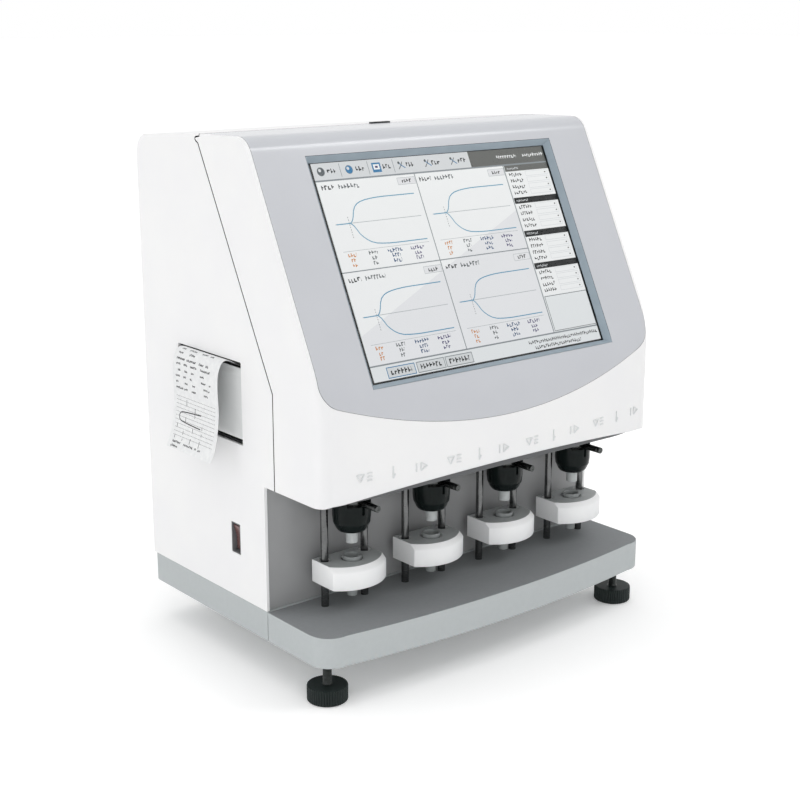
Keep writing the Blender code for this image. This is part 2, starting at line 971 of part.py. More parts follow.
# Measuring heads: housing, hanging pin and test lever
head_top = shell_underside - gap
lever_height = head_top - lever_drop
hub_half_height = lever_hub_height / 2
cavity_low = lever_height - hub_half_height - gap
cavity_high = lever_height + hub_half_height + gap
cavity_radius = lever_hub_radius + slide_fit
window_reach = head_radius + overlap
for number, centre in enumerate(channel_centres, 1):
    head_profile = [
        (0, head_top),
        (head_radius, head_top),
        (head_radius, head_top - head_barrel_height),
        (head_shoulder_radius, head_top - head_shoulder_height),
        (head_rim_radius, head_top - head_height),
        (head_bore_radius, head_top - head_height),
        (head_bore_radius, cavity_low),
        (cavity_radius, cavity_low),
        (cavity_radius, cavity_high),
        (head_stem_bore, cavity_high),
        (head_stem_bore, head_top - head_stem_bore_drop),
        (0, head_top - head_stem_bore_drop),
    ]
    head = add(
        f"head_housing_{number}",
        turned(head_profile, centre, head_y, round_steps),
        black_metal,
        (centre, head_y, head_top),
    )
    start = -math.pi / 2 - lever_half_sweep
    stop = -math.pi / 2 + lever_half_sweep
    window = arc(centre, head_y, cavity_radius - overlap, start, stop, sweep_steps)
    window += arc(centre, head_y, window_reach, stop, start, sweep_steps)
    window_low = lever_height - lever_radius - slide_fit
    window_high = lever_height + lever_radius + slide_fit
    slit_back = head_y - head_radius + slit_depth
    cut(head, prism(window, window_low, window_high, "Z"))
    cut(
        head,
        block(
            centre - slit_width / 2,
            centre + slit_width / 2,
            slit_back - beyond,
            slit_back,
            window_low - slit_height,
            window_low + slit_width,
        ),
    )
    shade_round(head)

    pin_low = head_top - pin_drop
    pin_shoulder = head_top - pin_shoulder_drop
    pin_profile = [
        (0, pin_low),
        (pin_radius - pin_edge, pin_low),
        (pin_radius, pin_low + pin_edge),
        (pin_radius, pin_shoulder),
        (stem_radius, pin_shoulder),
        (stem_radius, head_top - stem_drop),
        (0, head_top - stem_drop),
    ]
    pin = add(
        f"sensor_pin_{number}",
        turned(pin_profile, centre, head_y, small_steps),
        pale_plastic,
        (centre, head_y, pin_low),
    )
    shade_round(pin)

    hub_profile = [
        (lever_bore_radius, lever_height - hub_half_height),
        (lever_hub_radius, lever_height - hub_half_height),
        (lever_hub_radius, lever_height + hub_half_height),
        (lever_bore_radius, lever_height + hub_half_height),
    ]
    lever = add(
        f"lever_{number}",
        turned(hub_profile, centre, head_y, round_steps),
        lever_steel,
        (centre, head_y, lever_height),
    )

    def lever_ring(radius, y):
        return [
            (x, y, height)
            for x, height in arc(centre, lever_height, radius, 0, 2 * math.pi, small_steps)[:-1]
        ]

    tip_y = head_y - lever_length
    root_y = head_y - (lever_bore_radius + lever_hub_radius) / 2
    join(
        lever,
        loft(
            [
                lever_ring(lever_radius, root_y),
                lever_ring(lever_radius, tip_y + lever_edge),
                lever_ring(lever_radius - lever_edge, tip_y),
            ]
        ),
    )
    shade_round(lever)

# Printer
printer_face = -half_width + printer_inset
printer_back = printer_face + printer_depth
body_front_y = printer_front_y + gap
body_back_y = printer_back_y - gap
body_low = printer_low + gap
body_high = printer_high - gap
roll_x = printer_face + roll_inset - printer_inset
roll_height = printer_high - roll_drop
printer_middle_y = (printer_front_y + printer_back_y) / 2
printer_body = add(
    "printer_body",
    block(printer_face, printer_back, body_front_y, body_back_y, body_low, body_high),
    black_plastic,
)
cut(
    printer_body,
    block(
        printer_face - beyond,
        printer_back - printer_wall,
        body_front_y + printer_wall,
        body_back_y - printer_wall,
        body_low + printer_wall,
        body_high - printer_wall,
    ),
)
stub_start = body_front_y + printer_wall / 2
stub_end = body_back_y - printer_wall / 2
roll_centre = (roll_x, roll_height)
join(
    printer_body,
    rod(
        roll_centre, roll_stub_radius, stub_start, stub_start + roll_stub_length, small_steps, "Y"
    ),
    rod(roll_centre, roll_stub_radius, stub_end - roll_stub_length, stub_end, small_steps, "Y"),
)

roll_front = printer_middle_y - paper_width / 2
roll_back = printer_middle_y + paper_width / 2


def hoop(radius, y):
    outline = arc(roll_x, roll_height, radius, 0, 2 * math.pi, round_steps)[:-1]
    return [(x, y, height) for x, height in outline]


paper_roll = add(
    "paper_roll",
    loft(
        [
            hoop(roll_core_radius, roll_front),
            hoop(roll_radius, roll_front),
            hoop(roll_radius, roll_back),
            hoop(roll_core_radius, roll_back),
        ],
        closed=True,
    ),
    paper_white,
    (roll_x, printer_middle_y, roll_height),
)
shade_round(paper_roll)

door_front_y = printer_front_y + door_side_gap
door_back_y = printer_back_y - door_side_gap
door_low = printer_low + door_low_slot
door_high = printer_high - door_high_slot
door_inner = printer_face - gap
door_outer = door_inner - door_thickness
door_middle = (door_low + door_high) / 2
door_hinge = (-half_width + door_hinge_inset, printer_middle_y, door_low)
door_outline = [
    (door_inner, door_low),
    (door_outer + 2 * door_curve, door_low),
    (door_outer + door_curve / 2, door_low + 2 * door_curve),
    (door_outer, door_low + 6 * door_curve),
    (door_outer - door_curve / 4, door_middle),
    (door_outer, door_high - 6 * door_curve),
    (door_outer + door_curve / 2, door_high - 3 * door_curve),
    (door_outer + 3 * door_curve / 2, door_high - door_curve),
    (door_inner, door_high),
]
printer_door = add(
    "printer_door", prism(door_outline, door_front_y, door_back_y, "Y"), white_plastic, door_hinge
)
ear_front = body_front_y + printer_wall + gap
ear_back = body_back_y - printer_wall - gap
for low_y, high_y in ((ear_front, ear_front + ear_thickness), (ear_back - ear_thickness, ear_back)):
    join(
        printer_door,
        block(
            door_inner - door_thickness / 2,
            door_inner + ear_reach,
            low_y,
            high_y,
            door_high - 2 * door_curve - ear_height,
            door_high - 2 * door_curve,
        ),
    )
shade_round(printer_door)
platen_centre = (-half_width + platen_inset, printer_high - platen_drop)
platen = add(
    "platen_roller",
    rod(
        platen_centre,
        platen_radius,
        ear_front + ear_thickness + gap,
        ear_back - ear_thickness - gap,
        round_steps,
        "Y",
    ),
    platen_rubber,
    (platen_centre[0], printer_middle_y, platen_centre[1]),
)
shade_round(platen)
wrap_radius = platen_radius + gap + paper_thickness / 2
strip_line = arc(
    platen_centre[0],
    platen_centre[1],
    wrap_radius,
    math.pi - paper_wrap_start,
    math.pi - paper_wrap_end,
    paper_wrap_steps,
)
for out, down in paper_path_shares:
    strip_line.append((-half_width - out * paper_step, printer_high - down * paper_step))
strip_outline = offset_line(strip_line, paper_thickness / 2)
strip_outline += reversed(offset_line(strip_line, -paper_thickness / 2))
paper_strip = add(
    "paper_strip", prism(strip_outline, roll_front, roll_back, "Y"), paper_white, door_hinge
)
shade_round(paper_strip)

# Power switch
switch_face = -half_width
switch_back = switch_face + switch_depth
switch_y = (switch_front_y + switch_back_y) / 2
switch_height = (switch_low + switch_high) / 2
switch_bezel = add(
    "switch_bezel",
    block(
        switch_face,
        switch_back,
        switch_front_y + gap,
        switch_back_y - gap,
        switch_low + gap,
        switch_high - gap,
    ),
    grey_paint,
)
switch_rim = gap + switch_wall
cut(
    switch_bezel,
    block(
        switch_face - beyond,
        switch_face + switch_cavity_depth,
        switch_front_y + switch_rim,
        switch_back_y - switch_rim,
        switch_low + switch_rim,
        switch_high - switch_rim,
    ),
)
pivot_x = switch_face + rocker_pivot_inset
rocker_end = rocker_face + rocker_half_length * math.tan(rocker_tilt)
rocker_line = (
    (-rocker_face, 0),
    (-rocker_end, rocker_half_length),
    (-rocker_end / 2, rocker_half_length),
    (rocker_back, rocker_back_half_length),
    (rocker_back, -rocker_back_half_length),
    (-rocker_end / 2, -rocker_half_length),
    (-rocker_end, -rocker_half_length),
)
rocker_outline = []
for x, height in rocker_line:
    turned_x = x * math.cos(rocker_tilt) - height * math.sin(rocker_tilt)
    turned_height = x * math.sin(rocker_tilt) + height * math.cos(rocker_tilt)
    rocker_outline.append((pivot_x + turned_x, switch_height + turned_height))
add(
    "power_rocker",
    prism(
        rocker_outline,
        switch_front_y + switch_rim + rocker_side_gap,
        switch_back_y - switch_rim - rocker_side_gap,
        "Y",
    ),
    rocker_red,
    (pivot_x, switch_y, switch_height),
)

# Rear panel with its inlet, data port and fan
panel_back_y = shell_rear_y - wall - gap
panel_front_y = panel_back_y - rear_panel_thickness
rear_panel = add(
    "rear_panel",
    block(
        -niche_half_width,
        niche_half_width,
        panel_front_y,
        panel_back_y,
        base_top + gap,
        rear_panel_top,
    ),
    white_paint,
)
behind_panel = panel_back_y + beyond
before_panel = panel_front_y - beyond
panel_cuts = []
for x, height, width, tall in (
    (inlet_x, inlet_height, inlet_width, inlet_tall),
    (port_x, inlet_height, port_width, port_tall),
):
    panel_cuts.append(
        block(
            x - width / 2 - gap,
            x + width / 2 + gap,
            before_panel,
            behind_panel,
            height - tall / 2 - gap,
            height + tall / 2 + gap,
        )
    )
for slot in range(fan_slots):
    rise = (slot - (fan_slots - 1) / 2) * fan_slot_pitch
    reach = math.sqrt(fan_bore_radius**2 - rise**2)
    height = fan_height + rise
    panel_cuts.append(
        block(
            fan_x - reach,
            fan_x + reach,
            before_panel,
            behind_panel,
            height - fan_slot_height / 2,
            height + fan_slot_height / 2,
        )
    )
for slot in range(vent_slots):
    height = vent_height + (slot - (vent_slots - 1) / 2) * vent_slot_pitch
    panel_cuts.append(
        block(
            vent_x - vent_slot_width / 2,
            vent_x + vent_slot_width / 2,
            before_panel,
            behind_panel,
            height - vent_slot_height / 2,
            height + vent_slot_height / 2,
        )
    )
cut(rear_panel, *panel_cuts)


def inlet_outline(trim):
    half = inlet_width / 2 - trim
    tall = inlet_tall / 2 - trim
    corner = inlet_corner
    return [
        (inlet_x - half, inlet_height - tall),
        (inlet_x + half, inlet_height - tall),
        (inlet_x + half, inlet_height + tall - corner),
        (inlet_x + half - corner, inlet_height + tall),
        (inlet_x - half + corner, inlet_height + tall),
        (inlet_x - half, inlet_height + tall - corner),
    ]


flange_low_y = panel_back_y + gap
flange_high_y = flange_low_y + inlet_flange_thickness
power_inlet = add(
    "power_inlet",
    prism(inlet_outline(0), flange_high_y - inlet_depth, flange_high_y, "Y"),
    black_plastic,
)
flange_half = inlet_width / 2 + inlet_flange
flange_tall = inlet_tall / 2 + inlet_flange / 3
join(
    power_inlet,
    block(
        inlet_x - flange_half,
        inlet_x + flange_half,
        flange_low_y,
        flange_high_y,
        inlet_height - flange_tall,
        inlet_height + flange_tall,
    ),
)
cavity_floor_y = flange_high_y - inlet_cavity_depth
cut(power_inlet, prism(inlet_outline(inlet_wall), cavity_floor_y, flange_high_y + beyond, "Y"))
for across, lift in ((-blade_reach, -blade_lift), (0, blade_lift), (blade_reach, -blade_lift)):
    x = inlet_x + across
    height = inlet_height + lift
    join(
        power_inlet,
        block(
            x - blade_thick / 2,
            x + blade_thick / 2,
            cavity_floor_y - overlap,
            cavity_floor_y + blade_length,
            height - blade_tall / 2,
            height + blade_tall / 2,
        ),
    )
data_port = add(
    "data_port",
    block(
        port_x - port_width / 2,
        port_x + port_width / 2,
        panel_back_y - port_depth,
        panel_back_y,
        inlet_height - port_tall / 2,
        inlet_height + port_tall / 2,
    ),
    black_plastic,
)
cut(
    data_port,
    block(
        port_x - port_width / 2 + port_wall,
        port_x + port_width / 2 - port_wall,
        panel_back_y - port_cavity_depth,
        panel_back_y + beyond,
        inlet_height - port_tall / 2 + port_wall,
        inlet_height + port_tall / 2 - port_wall,
    ),
)

fan_back_y = panel_front_y - gap
fan_front_y = fan_back_y - fan_depth
fan_half = fan_size / 2
fan_frame = add(
    "fan_frame",
    block(
        fan_x - fan_half,
        fan_x + fan_half,
        fan_front_y,
        fan_back_y,
        fan_height - fan_half,
        fan_height + fan_half,
    ),
    fan_plastic,
)
cut(
    fan_frame,
    rod(
        (fan_x, fan_height),
        fan_bore_radius,
        fan_front_y - beyond,
        fan_back_y + beyond,
        round_steps,
        "Y",
    ),
)
strut_back_y = fan_front_y + fan_strut_depth
join(
    fan_frame,
    block(
        fan_x - fan_bore_radius - overlap / 2,
        fan_x + fan_bore_radius + overlap / 2,
        fan_front_y + gap,
        strut_back_y,
        fan_height - fan_strut_width / 2,
        fan_height + fan_strut_width / 2,
    ),
    block(
        fan_x - fan_strut_width / 2,
        fan_x + fan_strut_width / 2,
        fan_front_y + gap,
        strut_back_y,
        fan_height - fan_bore_radius - overlap / 2,
        fan_height + fan_bore_radius + overlap / 2,
    ),
    rod(
        (fan_x, fan_height),
        fan_hub_radius,
        fan_front_y + gap / 2,
        strut_back_y + gap,
        round_steps,
        "Y",
    ),
)
rotor_front_y = strut_back_y + 2 * gap
rotor_back_y = rotor_front_y + fan_rotor_depth
rotor = add(
    "fan_rotor",
    rod(
        (fan_x, fan_height), fan_hub_radius, rotor_front_y, rotor_back_y, round_steps, "Y"
    ),
    fan_plastic,
    (fan_x, rotor_front_y, fan_height),
)
blade_depth = fan_rotor_depth - 2 * overlap
blade_half = blade_depth / 2
blade_middle_y = (rotor_front_y + rotor_back_y) / 2
for number in range(fan_blades):
    turn = 2 * math.pi * number / fan_blades
    rings = []
    for radius, twist in (
        (fan_hub_radius - overlap, fan_blade_twist),
        (fan_tip_radius, fan_blade_twist * fan_tip_twist_share),
    ):
        ring = []
        for along, across in ((-1, -1), (1, -1), (1, 1), (-1, 1)):
            run = along * blade_half / math.cos(fan_blade_twist) / 2
            thick = across * fan_blade_thickness / 2
            side = run * math.sin(twist) + thick * math.cos(twist)
            y = blade_middle_y + run * math.cos(twist) - thick * math.sin(twist)
            x = radius * math.cos(turn) - side * math.sin(turn)
            height = radius * math.sin(turn) + side * math.cos(turn)
            ring.append((fan_x + x, y, fan_height + height))
        rings.append(ring)
    join(rotor, loft(rings))
shade_round(rotor)

# Electronics
tray_top = base_top + tray_height
tray_low = base_top + gap
tray_outline = [
    (tray_left, tray_low),
    (tray_left + tray_sheet, tray_low),
    (tray_left + tray_sheet, tray_top - tray_sheet),
    (tray_right - tray_sheet, tray_top - tray_sheet),
    (tray_right - tray_sheet, tray_low),
    (tray_right, tray_low),
    (tray_right, tray_top),
    (tray_left, tray_top),
]
tray = add("electronics_tray", prism(tray_outline, tray_front_y, tray_back_y, "Y"), panel_metal)
board_low = tray_top + post_height + gap
board_high = board_low + board_thickness
for x in (board_left + board_margin, board_right - board_margin):
    for y in (board_front_y + board_margin, board_back_y - board_margin):
        join(
            tray,
            rod((x, y), post_radius, tray_top - tray_sheet / 2, tray_top + post_height, post_steps, "Z"),
        )
main_board = add(
    "main_board",
    block(board_left, board_right, board_front_y, board_back_y, board_low, board_high),
    board_green,
)
board_middle_x = (board_left + board_right) / 2
board_middle_y = (board_front_y + board_back_y) / 2
join(
    main_board,
    block(
        board_middle_x - heat_sink_size / 2,
        board_middle_x + heat_sink_size / 2,
        board_middle_y - heat_sink_size / 2,
        board_middle_y + heat_sink_size / 2,
        board_high - board_thickness / 2,
        board_high + heat_sink_height,
    ),
    block(
        board_middle_x - connector_width / 2,
        board_middle_x + connector_width / 2,
        board_front_y + board_margin,
        board_front_y + board_margin + connector_depth,
        board_high - board_thickness / 2,
        board_high + connector_height,
    ),
)
supply_low = tray_top + gap
add(
    "power_supply",
    block(
        supply_left,
        supply_right,
        supply_front_y,
        supply_back_y,
        supply_low,
        supply_low + supply_height,
    ),
    panel_metal,
)
sensor_low = deck_top + sensor_board_lift
sensor_high = sensor_low + board_thickness
sensor_board = add(
    "sensor_board",
    block(
        -sensor_board_half_width,
        sensor_board_half_width,
        sensor_board_front_y,
        sensor_board_back_y,
        sensor_low,
        sensor_high,
    ),
    board_green,
)
for x in (board_margin - sensor_board_half_width, sensor_board_half_width - board_margin):
    for y in (sensor_board_front_y + board_margin, sensor_board_back_y - board_margin):
        join(
            sensor_board,
            rod((x, y), post_radius, deck_top + gap, sensor_low + board_thickness / 2, 8, "Z"),
        )
for centre in channel_centres:
    join(
        sensor_board,
        block(
            centre - sensor_can_size / 2,
            centre + sensor_can_size / 2,
            head_y - sensor_can_size / 2,
            head_y + sensor_can_size / 2,
            sensor_high - board_thickness / 2,
            sensor_high + sensor_can_height,
        ),
    )
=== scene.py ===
# Looks for the four-channel thromboelastograph: finishes, fine forms, screen picture and print.
# Metres. Places are measured as on the CAD: z up from the bench, y back from the front of the
# base, x from the middle; meshFrom moves y into the frame's own origin.
import math
import random
import bmesh
import bpy
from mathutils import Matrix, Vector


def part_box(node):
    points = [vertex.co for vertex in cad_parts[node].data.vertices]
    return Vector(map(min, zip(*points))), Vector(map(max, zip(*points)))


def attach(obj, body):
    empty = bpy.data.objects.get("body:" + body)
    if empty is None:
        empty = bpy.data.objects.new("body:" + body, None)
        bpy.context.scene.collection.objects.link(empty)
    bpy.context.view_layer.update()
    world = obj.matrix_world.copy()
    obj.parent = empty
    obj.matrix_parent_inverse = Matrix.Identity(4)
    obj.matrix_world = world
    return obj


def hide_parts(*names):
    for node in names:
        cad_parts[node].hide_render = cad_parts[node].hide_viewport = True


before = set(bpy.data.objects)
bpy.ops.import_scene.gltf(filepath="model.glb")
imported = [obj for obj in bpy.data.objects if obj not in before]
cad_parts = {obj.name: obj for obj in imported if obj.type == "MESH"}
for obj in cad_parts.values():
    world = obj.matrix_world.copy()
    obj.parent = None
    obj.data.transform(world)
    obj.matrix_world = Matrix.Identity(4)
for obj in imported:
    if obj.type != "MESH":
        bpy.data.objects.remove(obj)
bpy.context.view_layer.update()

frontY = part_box("base_platform")[0][1]
random.seed(4)

# the instrument's main sizes, shared by several pieces
body = {"halfWidth": 0.215, "underside": 0.041, "baseTop": 0.071, "frontBow": 0.0175,
        "coverLead": 0.0015, "coverCorner": 0.012, "wall": 0.003, "shellLow": 0.196,
        "roof": 0.5158, "crease": 0.2648, "creaseBlend": 0.009, "slope": math.radians(26.43),
        "roofRounding": 0.022, "gap": 0.0003}
gap = body["gap"]
headY = 0.0717
beyond = 0.02  # how far a cutter reaches past what it cuts


def middleOf(node):
    # (x, y) of a CAD solid's middle
    low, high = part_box(node)
    return (low[0] + high[0]) / 2, (low[1] + high[1]) / 2 - frontY


stationX = [middleOf(f"carriage_{number}")[0] for number in range(1, 5)]
print("frame loaded, stations at", [round(x, 4) for x in stationX])


# materials
def linear(hexColour):
    # sRGB hex to the linear values that the shaders take
    channels = [int(hexColour[start:start + 2], 16) / 255 for start in (1, 3, 5)]
    return [c / 12.92 if c <= 0.04045 else ((c + 0.055) / 1.055) ** 2.4 for c in channels] + [1]


def addNode(material, kind, inputs=None, sends=None, **settings):
    node = material.node_tree.nodes.new("ShaderNode" + kind)
    for name, value in settings.items():
        setattr(node, name, value)
    for name, value in (inputs or {}).items():
        if isinstance(value, bpy.types.NodeSocket):
            material.node_tree.links.new(value, node.inputs[name])
        else:
            node.inputs[name].default_value = value
    for name, target in (sends or {}).items():
        material.node_tree.links.new(node.outputs[name], target)
    return node


def newMaterial(name, colour, **sockets):
    material = bpy.data.materials.new(name)
    material.use_nodes = True
    shader = material.node_tree.nodes["Principled BSDF"]
    shader.inputs["Base Color"].default_value = linear(colour)
    for socket, value in sockets.items():
        shader.inputs[socket.replace("_", " ")].default_value = value
    return material, shader


def surfaceGrain(material, shader, sizeMm, depthMm, gloss, stretch=(1, 1, 1), detail=2):
    # relief of a real grain size and depth, and a gloss that goes with it
    place = addNode(material, "TexCoord")
    spread = addNode(material, "Mapping", {
        "Vector": place.outputs["Object"], "Scale": [share * 1000 / sizeMm for share in stretch]})
    noise = addNode(material, "TexNoise", {
        "Vector": spread.outputs["Vector"], "Scale": 1.0, "Detail": detail})
    addNode(material, "Bump", {"Height": noise.outputs["Fac"], "Distance": depthMm / 1000},
            {"Normal": shader.inputs["Normal"]})
    addNode(material, "MapRange", {
        "Value": noise.outputs["Fac"], "From Min": 0.3, "From Max": 0.7,
        "To Min": gloss[0], "To Max": gloss[1]}, {"Result": shader.inputs["Roughness"]})


def colourDrift(material, shader, light, dark, patchMm):
    # slow wandering between two near tones
    place = addNode(material, "TexCoord")
    noise = addNode(material, "TexNoise", {
        "Vector": place.outputs["Object"], "Scale": 1000 / patchMm, "Detail": 3.0})
    ramp = addNode(material, "ValToRGB", {"Fac": noise.outputs["Fac"]},
                   {"Color": shader.inputs["Base Color"]})
    for element, position, colour in zip(ramp.color_ramp.elements, (0.35, 0.65), (dark, light)):
        element.position = position
        element.color = linear(colour)


def finished(name, light, dark, patchMm, grain, **sockets):
    # grain is its size and depth in mm, its gloss from and to, its stretch and its detail
    material, shader = newMaterial(name, light, **sockets)
    colourDrift(material, shader, light, dark, patchMm)
    surfaceGrain(material, shader, *grain)
    return material


def sprayedEnamel(name, light, dark, gloss=(0.32, 0.42)):
    # two-pack enamel sprayed on steel and moulded skins: satin, its orange peel 2 mm wide and
    # some microns deep
    return finished(name, light, dark, 60, (2.0, 0.003, gloss), IOR=1.5)


def powderCoat(name, light, dark):
    # machined aluminium slab under powder coat: a little green in its grey; the real grit is
    # 0.3 mm, drawn twice as coarse so that it shows at all
    return finished(name, light, dark, 5, (0.6, 0.008, (0.46, 0.60)), IOR=1.5,
                    Specular_IOR_Level=0.1)


def milledAcetal(name, light, dark):
    # machined acetal: dense and slightly waxy, with faint milling marks
    return finished(name, light, dark, 20, (1.2, 0.008, (0.34, 0.46)), IOR=1.48,
                    Specular_IOR_Level=0.3)


def turnedAcetal(name, light, dark):
    # natural acetal turned on a lathe: pale grey, fine rings drawn at 0.5 mm
    return finished(name, light, dark, 5, (0.5, 0.008, (0.28, 0.40), (0.05, 0.05, 1), 1),
                    IOR=1.48, Specular_IOR_Level=0.3)


def grainedMoulding(name, light, dark, ior, gloss, sheen=0.5):
    # injection moulding with the spark-eroded grain of its tool, about 0.5 mm
    return finished(name, light, dark, 15, (0.5, 0.012, gloss), IOR=ior, Specular_IOR_Level=sheen)


def litColour(name, high, low):
    # a lit colour of the display, a little dimmer towards the bottom edge
    material, shader = newMaterial(name, "#060606", Roughness=0.4, Specular_IOR_Level=0.1,
                                   Emission_Strength=0.90)
    place = addNode(material, "TexCoord")
    split = addNode(material, "SeparateXYZ", {"Vector": place.outputs["Object"]})
    height = addNode(material, "MapRange", {
        "Value": split.outputs["Z"], "From Min": 0.30, "From Max": 0.49})
    ramp = addNode(material, "ValToRGB", {"Fac": height.outputs["Result"]},
                   {"Color": shader.inputs["Emission Color"]})
    for element, colour in zip(ramp.color_ramp.elements, (low, high)):
        element.color = linear(colour)
    return material


white = sprayedEnamel("sprayedWhiteEnamel", "#ECECEC", "#EAEAEB")
# a greyer white for the relief marks: painted shade of their raised strokes
reliefPaintedShade = sprayedEnamel("sprayedEnamelReliefShade", "#DADCDD", "#D5D7D8")
grey = sprayedEnamel("sprayedGreyEnamel", "#C1C3C8", "#BFC1C6", (0.17, 0.21))
nicheGrey = sprayedEnamel("sprayedNicheEnamel", "#9FA0A1", "#9A9B9C")
deckGrey = sprayedEnamel("sprayedDeckEnamel", "#5C5E60", "#56585A")
baseGrey = powderCoat("texturedPowderCoat", "#B7BCBD", "#B5BABB")
# a darker coat for the platform's top: painted shade under the overhanging cover and deck
platformTopPaintedShade = powderCoat("powderCoatPaintedShade", "#8B8E90", "#898C8E")
# turned aluminium, black anodised: rings round the axis, 0.2 mm real, drawn at 0.8 mm
blackHead = finished("blackAnodisedAluminium", "#131A19", "#0F1515", 8,
                     (0.8, 0.002, (0.17, 0.23), (0.04, 0.04, 1), 1), IOR=1.6,
                     Specular_IOR_Level=0.10)
# ground steel under black oxide, worn to a dark shine along the rod
darkSteel = finished("blackOxideSteel", "#5F6160", "#4E504F", 6,
                     (0.6, 0.004, (0.20, 0.34), (1, 0.06, 1)), Metallic=1.0)
# hardened guide shaft, centreless ground: 0.05 mm marks drawn at 0.4 mm
rodSteel = finished("groundSteelShaft", "#717272", "#656666", 10,
                    (0.4, 0.0005, (0.20, 0.28), (0.05, 0.05, 1), 1), Metallic=1.0)
# bright zinc plating on a rolled thread and on pressed screw heads
zincStud = finished("zincPlatedSteel", "#494C4B", "#3D403F", 3, (0.8, 0.004, (0.26, 0.40)),
                    Metallic=1.0)
# hot-dip galvanised sheet: spangles of 8 mm, each with its own shine
zincSheet, zincShader = newMaterial("galvanisedSheet", "#A9ACAE", Metallic=1.0)
spangle = addNode(zincSheet, "TexVoronoi", {
    "Vector": addNode(zincSheet, "TexCoord").outputs["Object"], "Scale": 1000 / 8})
addNode(zincSheet, "MapRange", {"Value": spangle.outputs["Color"], "To Min": 0.30, "To Max": 0.52},
        {"Result": zincShader.inputs["Roughness"]})
whiteAcetal = milledAcetal("milledWhiteAcetal", "#F8F9F9", "#F4F5F6")
# a grey for the carriages' flat tops: painted shade from the heads and deck above
topAcetalPaintedShade = milledAcetal("milledAcetalPaintedShade", "#B4B8B8", "#AEB2B2")
paleAcetal = turnedAcetal("turnedPaleAcetal", "#B8BCBC", "#ADB1B1")
cupAcetal = turnedAcetal("turnedGreyAcetal", "#9DA1A1", "#939797")
blackNylon = grainedMoulding("mouldedBlackNylon", "#212928", "#1E2625", 1.53, (0.42, 0.58), 0.2)
blackAbs = grainedMoulding("mouldedBlackAbs", "#1E2020", "#1A1C1C", 1.52, (0.36, 0.50), 0.3)
bezelAbs = grainedMoulding("mouldedGreyAbs", "#93A1AB", "#8E9CA6", 1.52, (0.34, 0.46))
doorAbs = grainedMoulding("mouldedPaleAbs", "#D6D8D8", "#D3D5D5", 1.52, (0.14, 0.22))
switchAbs = grainedMoulding("mouldedSwitchNylon", "#6C6E70", "#68696B", 1.53, (0.36, 0.50))
redRocker = grainedMoulding("mouldedRedPolycarbonate", "#6A4A48", "#644543", 1.58, (0.24, 0.34))
# clear hardened glass, its float waves 80 mm long; its anti-reflective coat leaves 1 percent of
# the light at each face, which is what an IOR of 1.22 gives
glassClear, glassShader = newMaterial("hardenedGlass", "#FFFFFF", IOR=1.22,
                                      Transmission_Weight=1.0)
surfaceGrain(glassClear, glassShader, 80, 0.010, (0.02, 0.03))
# coated thermal paper: smooth and matt, with faint clouding of its fibres
paper = finished("coatedThermalPaper", "#E7E8E8", "#DFE0E1", 4, (1.5, 0.008, (0.65, 0.80)),
                 IOR=1.45)
# blackened coating of the paper, uneven from dot to dot
ink = finished("thermalPrint", "#3C3E42", "#1A1C1F", 0.8, (0.8, 0.002, (0.55, 0.70)), IOR=1.45)
# ground silicone rubber of the printer's roller
rubber = finished("groundSiliconeRubber", "#2B2C2C", "#212222", 2, (0.4, 0.020, (0.65, 0.80)),
                  IOR=1.41)
# the sheets' edges are dark: painted shade in the joints, drawn as closed-cell rubber with pores of
# 0.5 mm
seamPaintedShade = finished("rubberPaintedSeamShade", "#1E2022", "#16181A", 1.5, (0.5, 0.040, (0.75, 0.90)),
                  IOR=1.45)
# glass-epoxy board under green solder mask, its tracks showing as slight relief
greenBoard = finished("greenSolderMask", "#27683F", "#174A29", 2.5, (1.0, 0.030, (0.28, 0.40)),
                      IOR=1.55)
print("materials made")


# shapes, each a pair of points and faces
def arc(centreA, centreB, radius, start, stop, steps):
    turn = (stop - start) / steps
    return [
        (centreA + radius * math.cos(start + turn * step),
         centreB + radius * math.sin(start + turn * step))
        for step in range(steps + 1)
    ]


def prism(outline, low, high, axis):
    place = {
        "X": lambda a, b, c: (c, a, b),
        "Y": lambda a, b, c: (a, c, b),
        "Z": lambda a, b, c: (a, b, c),
    }[axis]
    count = len(outline)
    points = [place(a, b, low) for a, b in outline] + [place(a, b, high) for a, b in outline]
    faces = [tuple(range(count)), tuple(range(count, 2 * count))]
    for corner in range(count):
        following = (corner + 1) % count
        faces.append((corner, following, following + count, corner + count))
    return points, faces


def block(left, right, front, back, low, high):
    return prism([(left, front), (right, front), (right, back), (left, back)], low, high, "Z")


def loft(rings, closed=False):
    count = len(rings[0])
    points = [point for ring in rings for point in ring]
    faces = []
    for band in range(len(rings) if closed else len(rings) - 1):
        near = band * count
        far = (band + 1) % len(rings) * count
        for corner in range(count):
            following = (corner + 1) % count
            faces.append((near + corner, near + following, far + following, far + corner))
    if not closed:
        faces += [tuple(range(count)), tuple(range(len(points) - count, len(points)))]
    return points, faces


def together(*shapes):
    points, faces = [], []
    for morePoints, moreFaces in shapes:
        start = len(points)
        points += morePoints
        faces += [tuple(start + corner for corner in face) for face in moreFaces]
    return points, faces


def sideways(line, distance):
    # a line moved square to its own run, to the right of it
    moved = []
    for index, (a, b) in enumerate(line):
        before, after = line[max(index - 1, 0)], line[min(index + 1, len(line) - 1)]
        runA, runB = after[0] - before[0], after[1] - before[1]
        length = math.hypot(runA, runB)
        moved.append((a + runB / length * distance, b - runA / length * distance))
    return moved


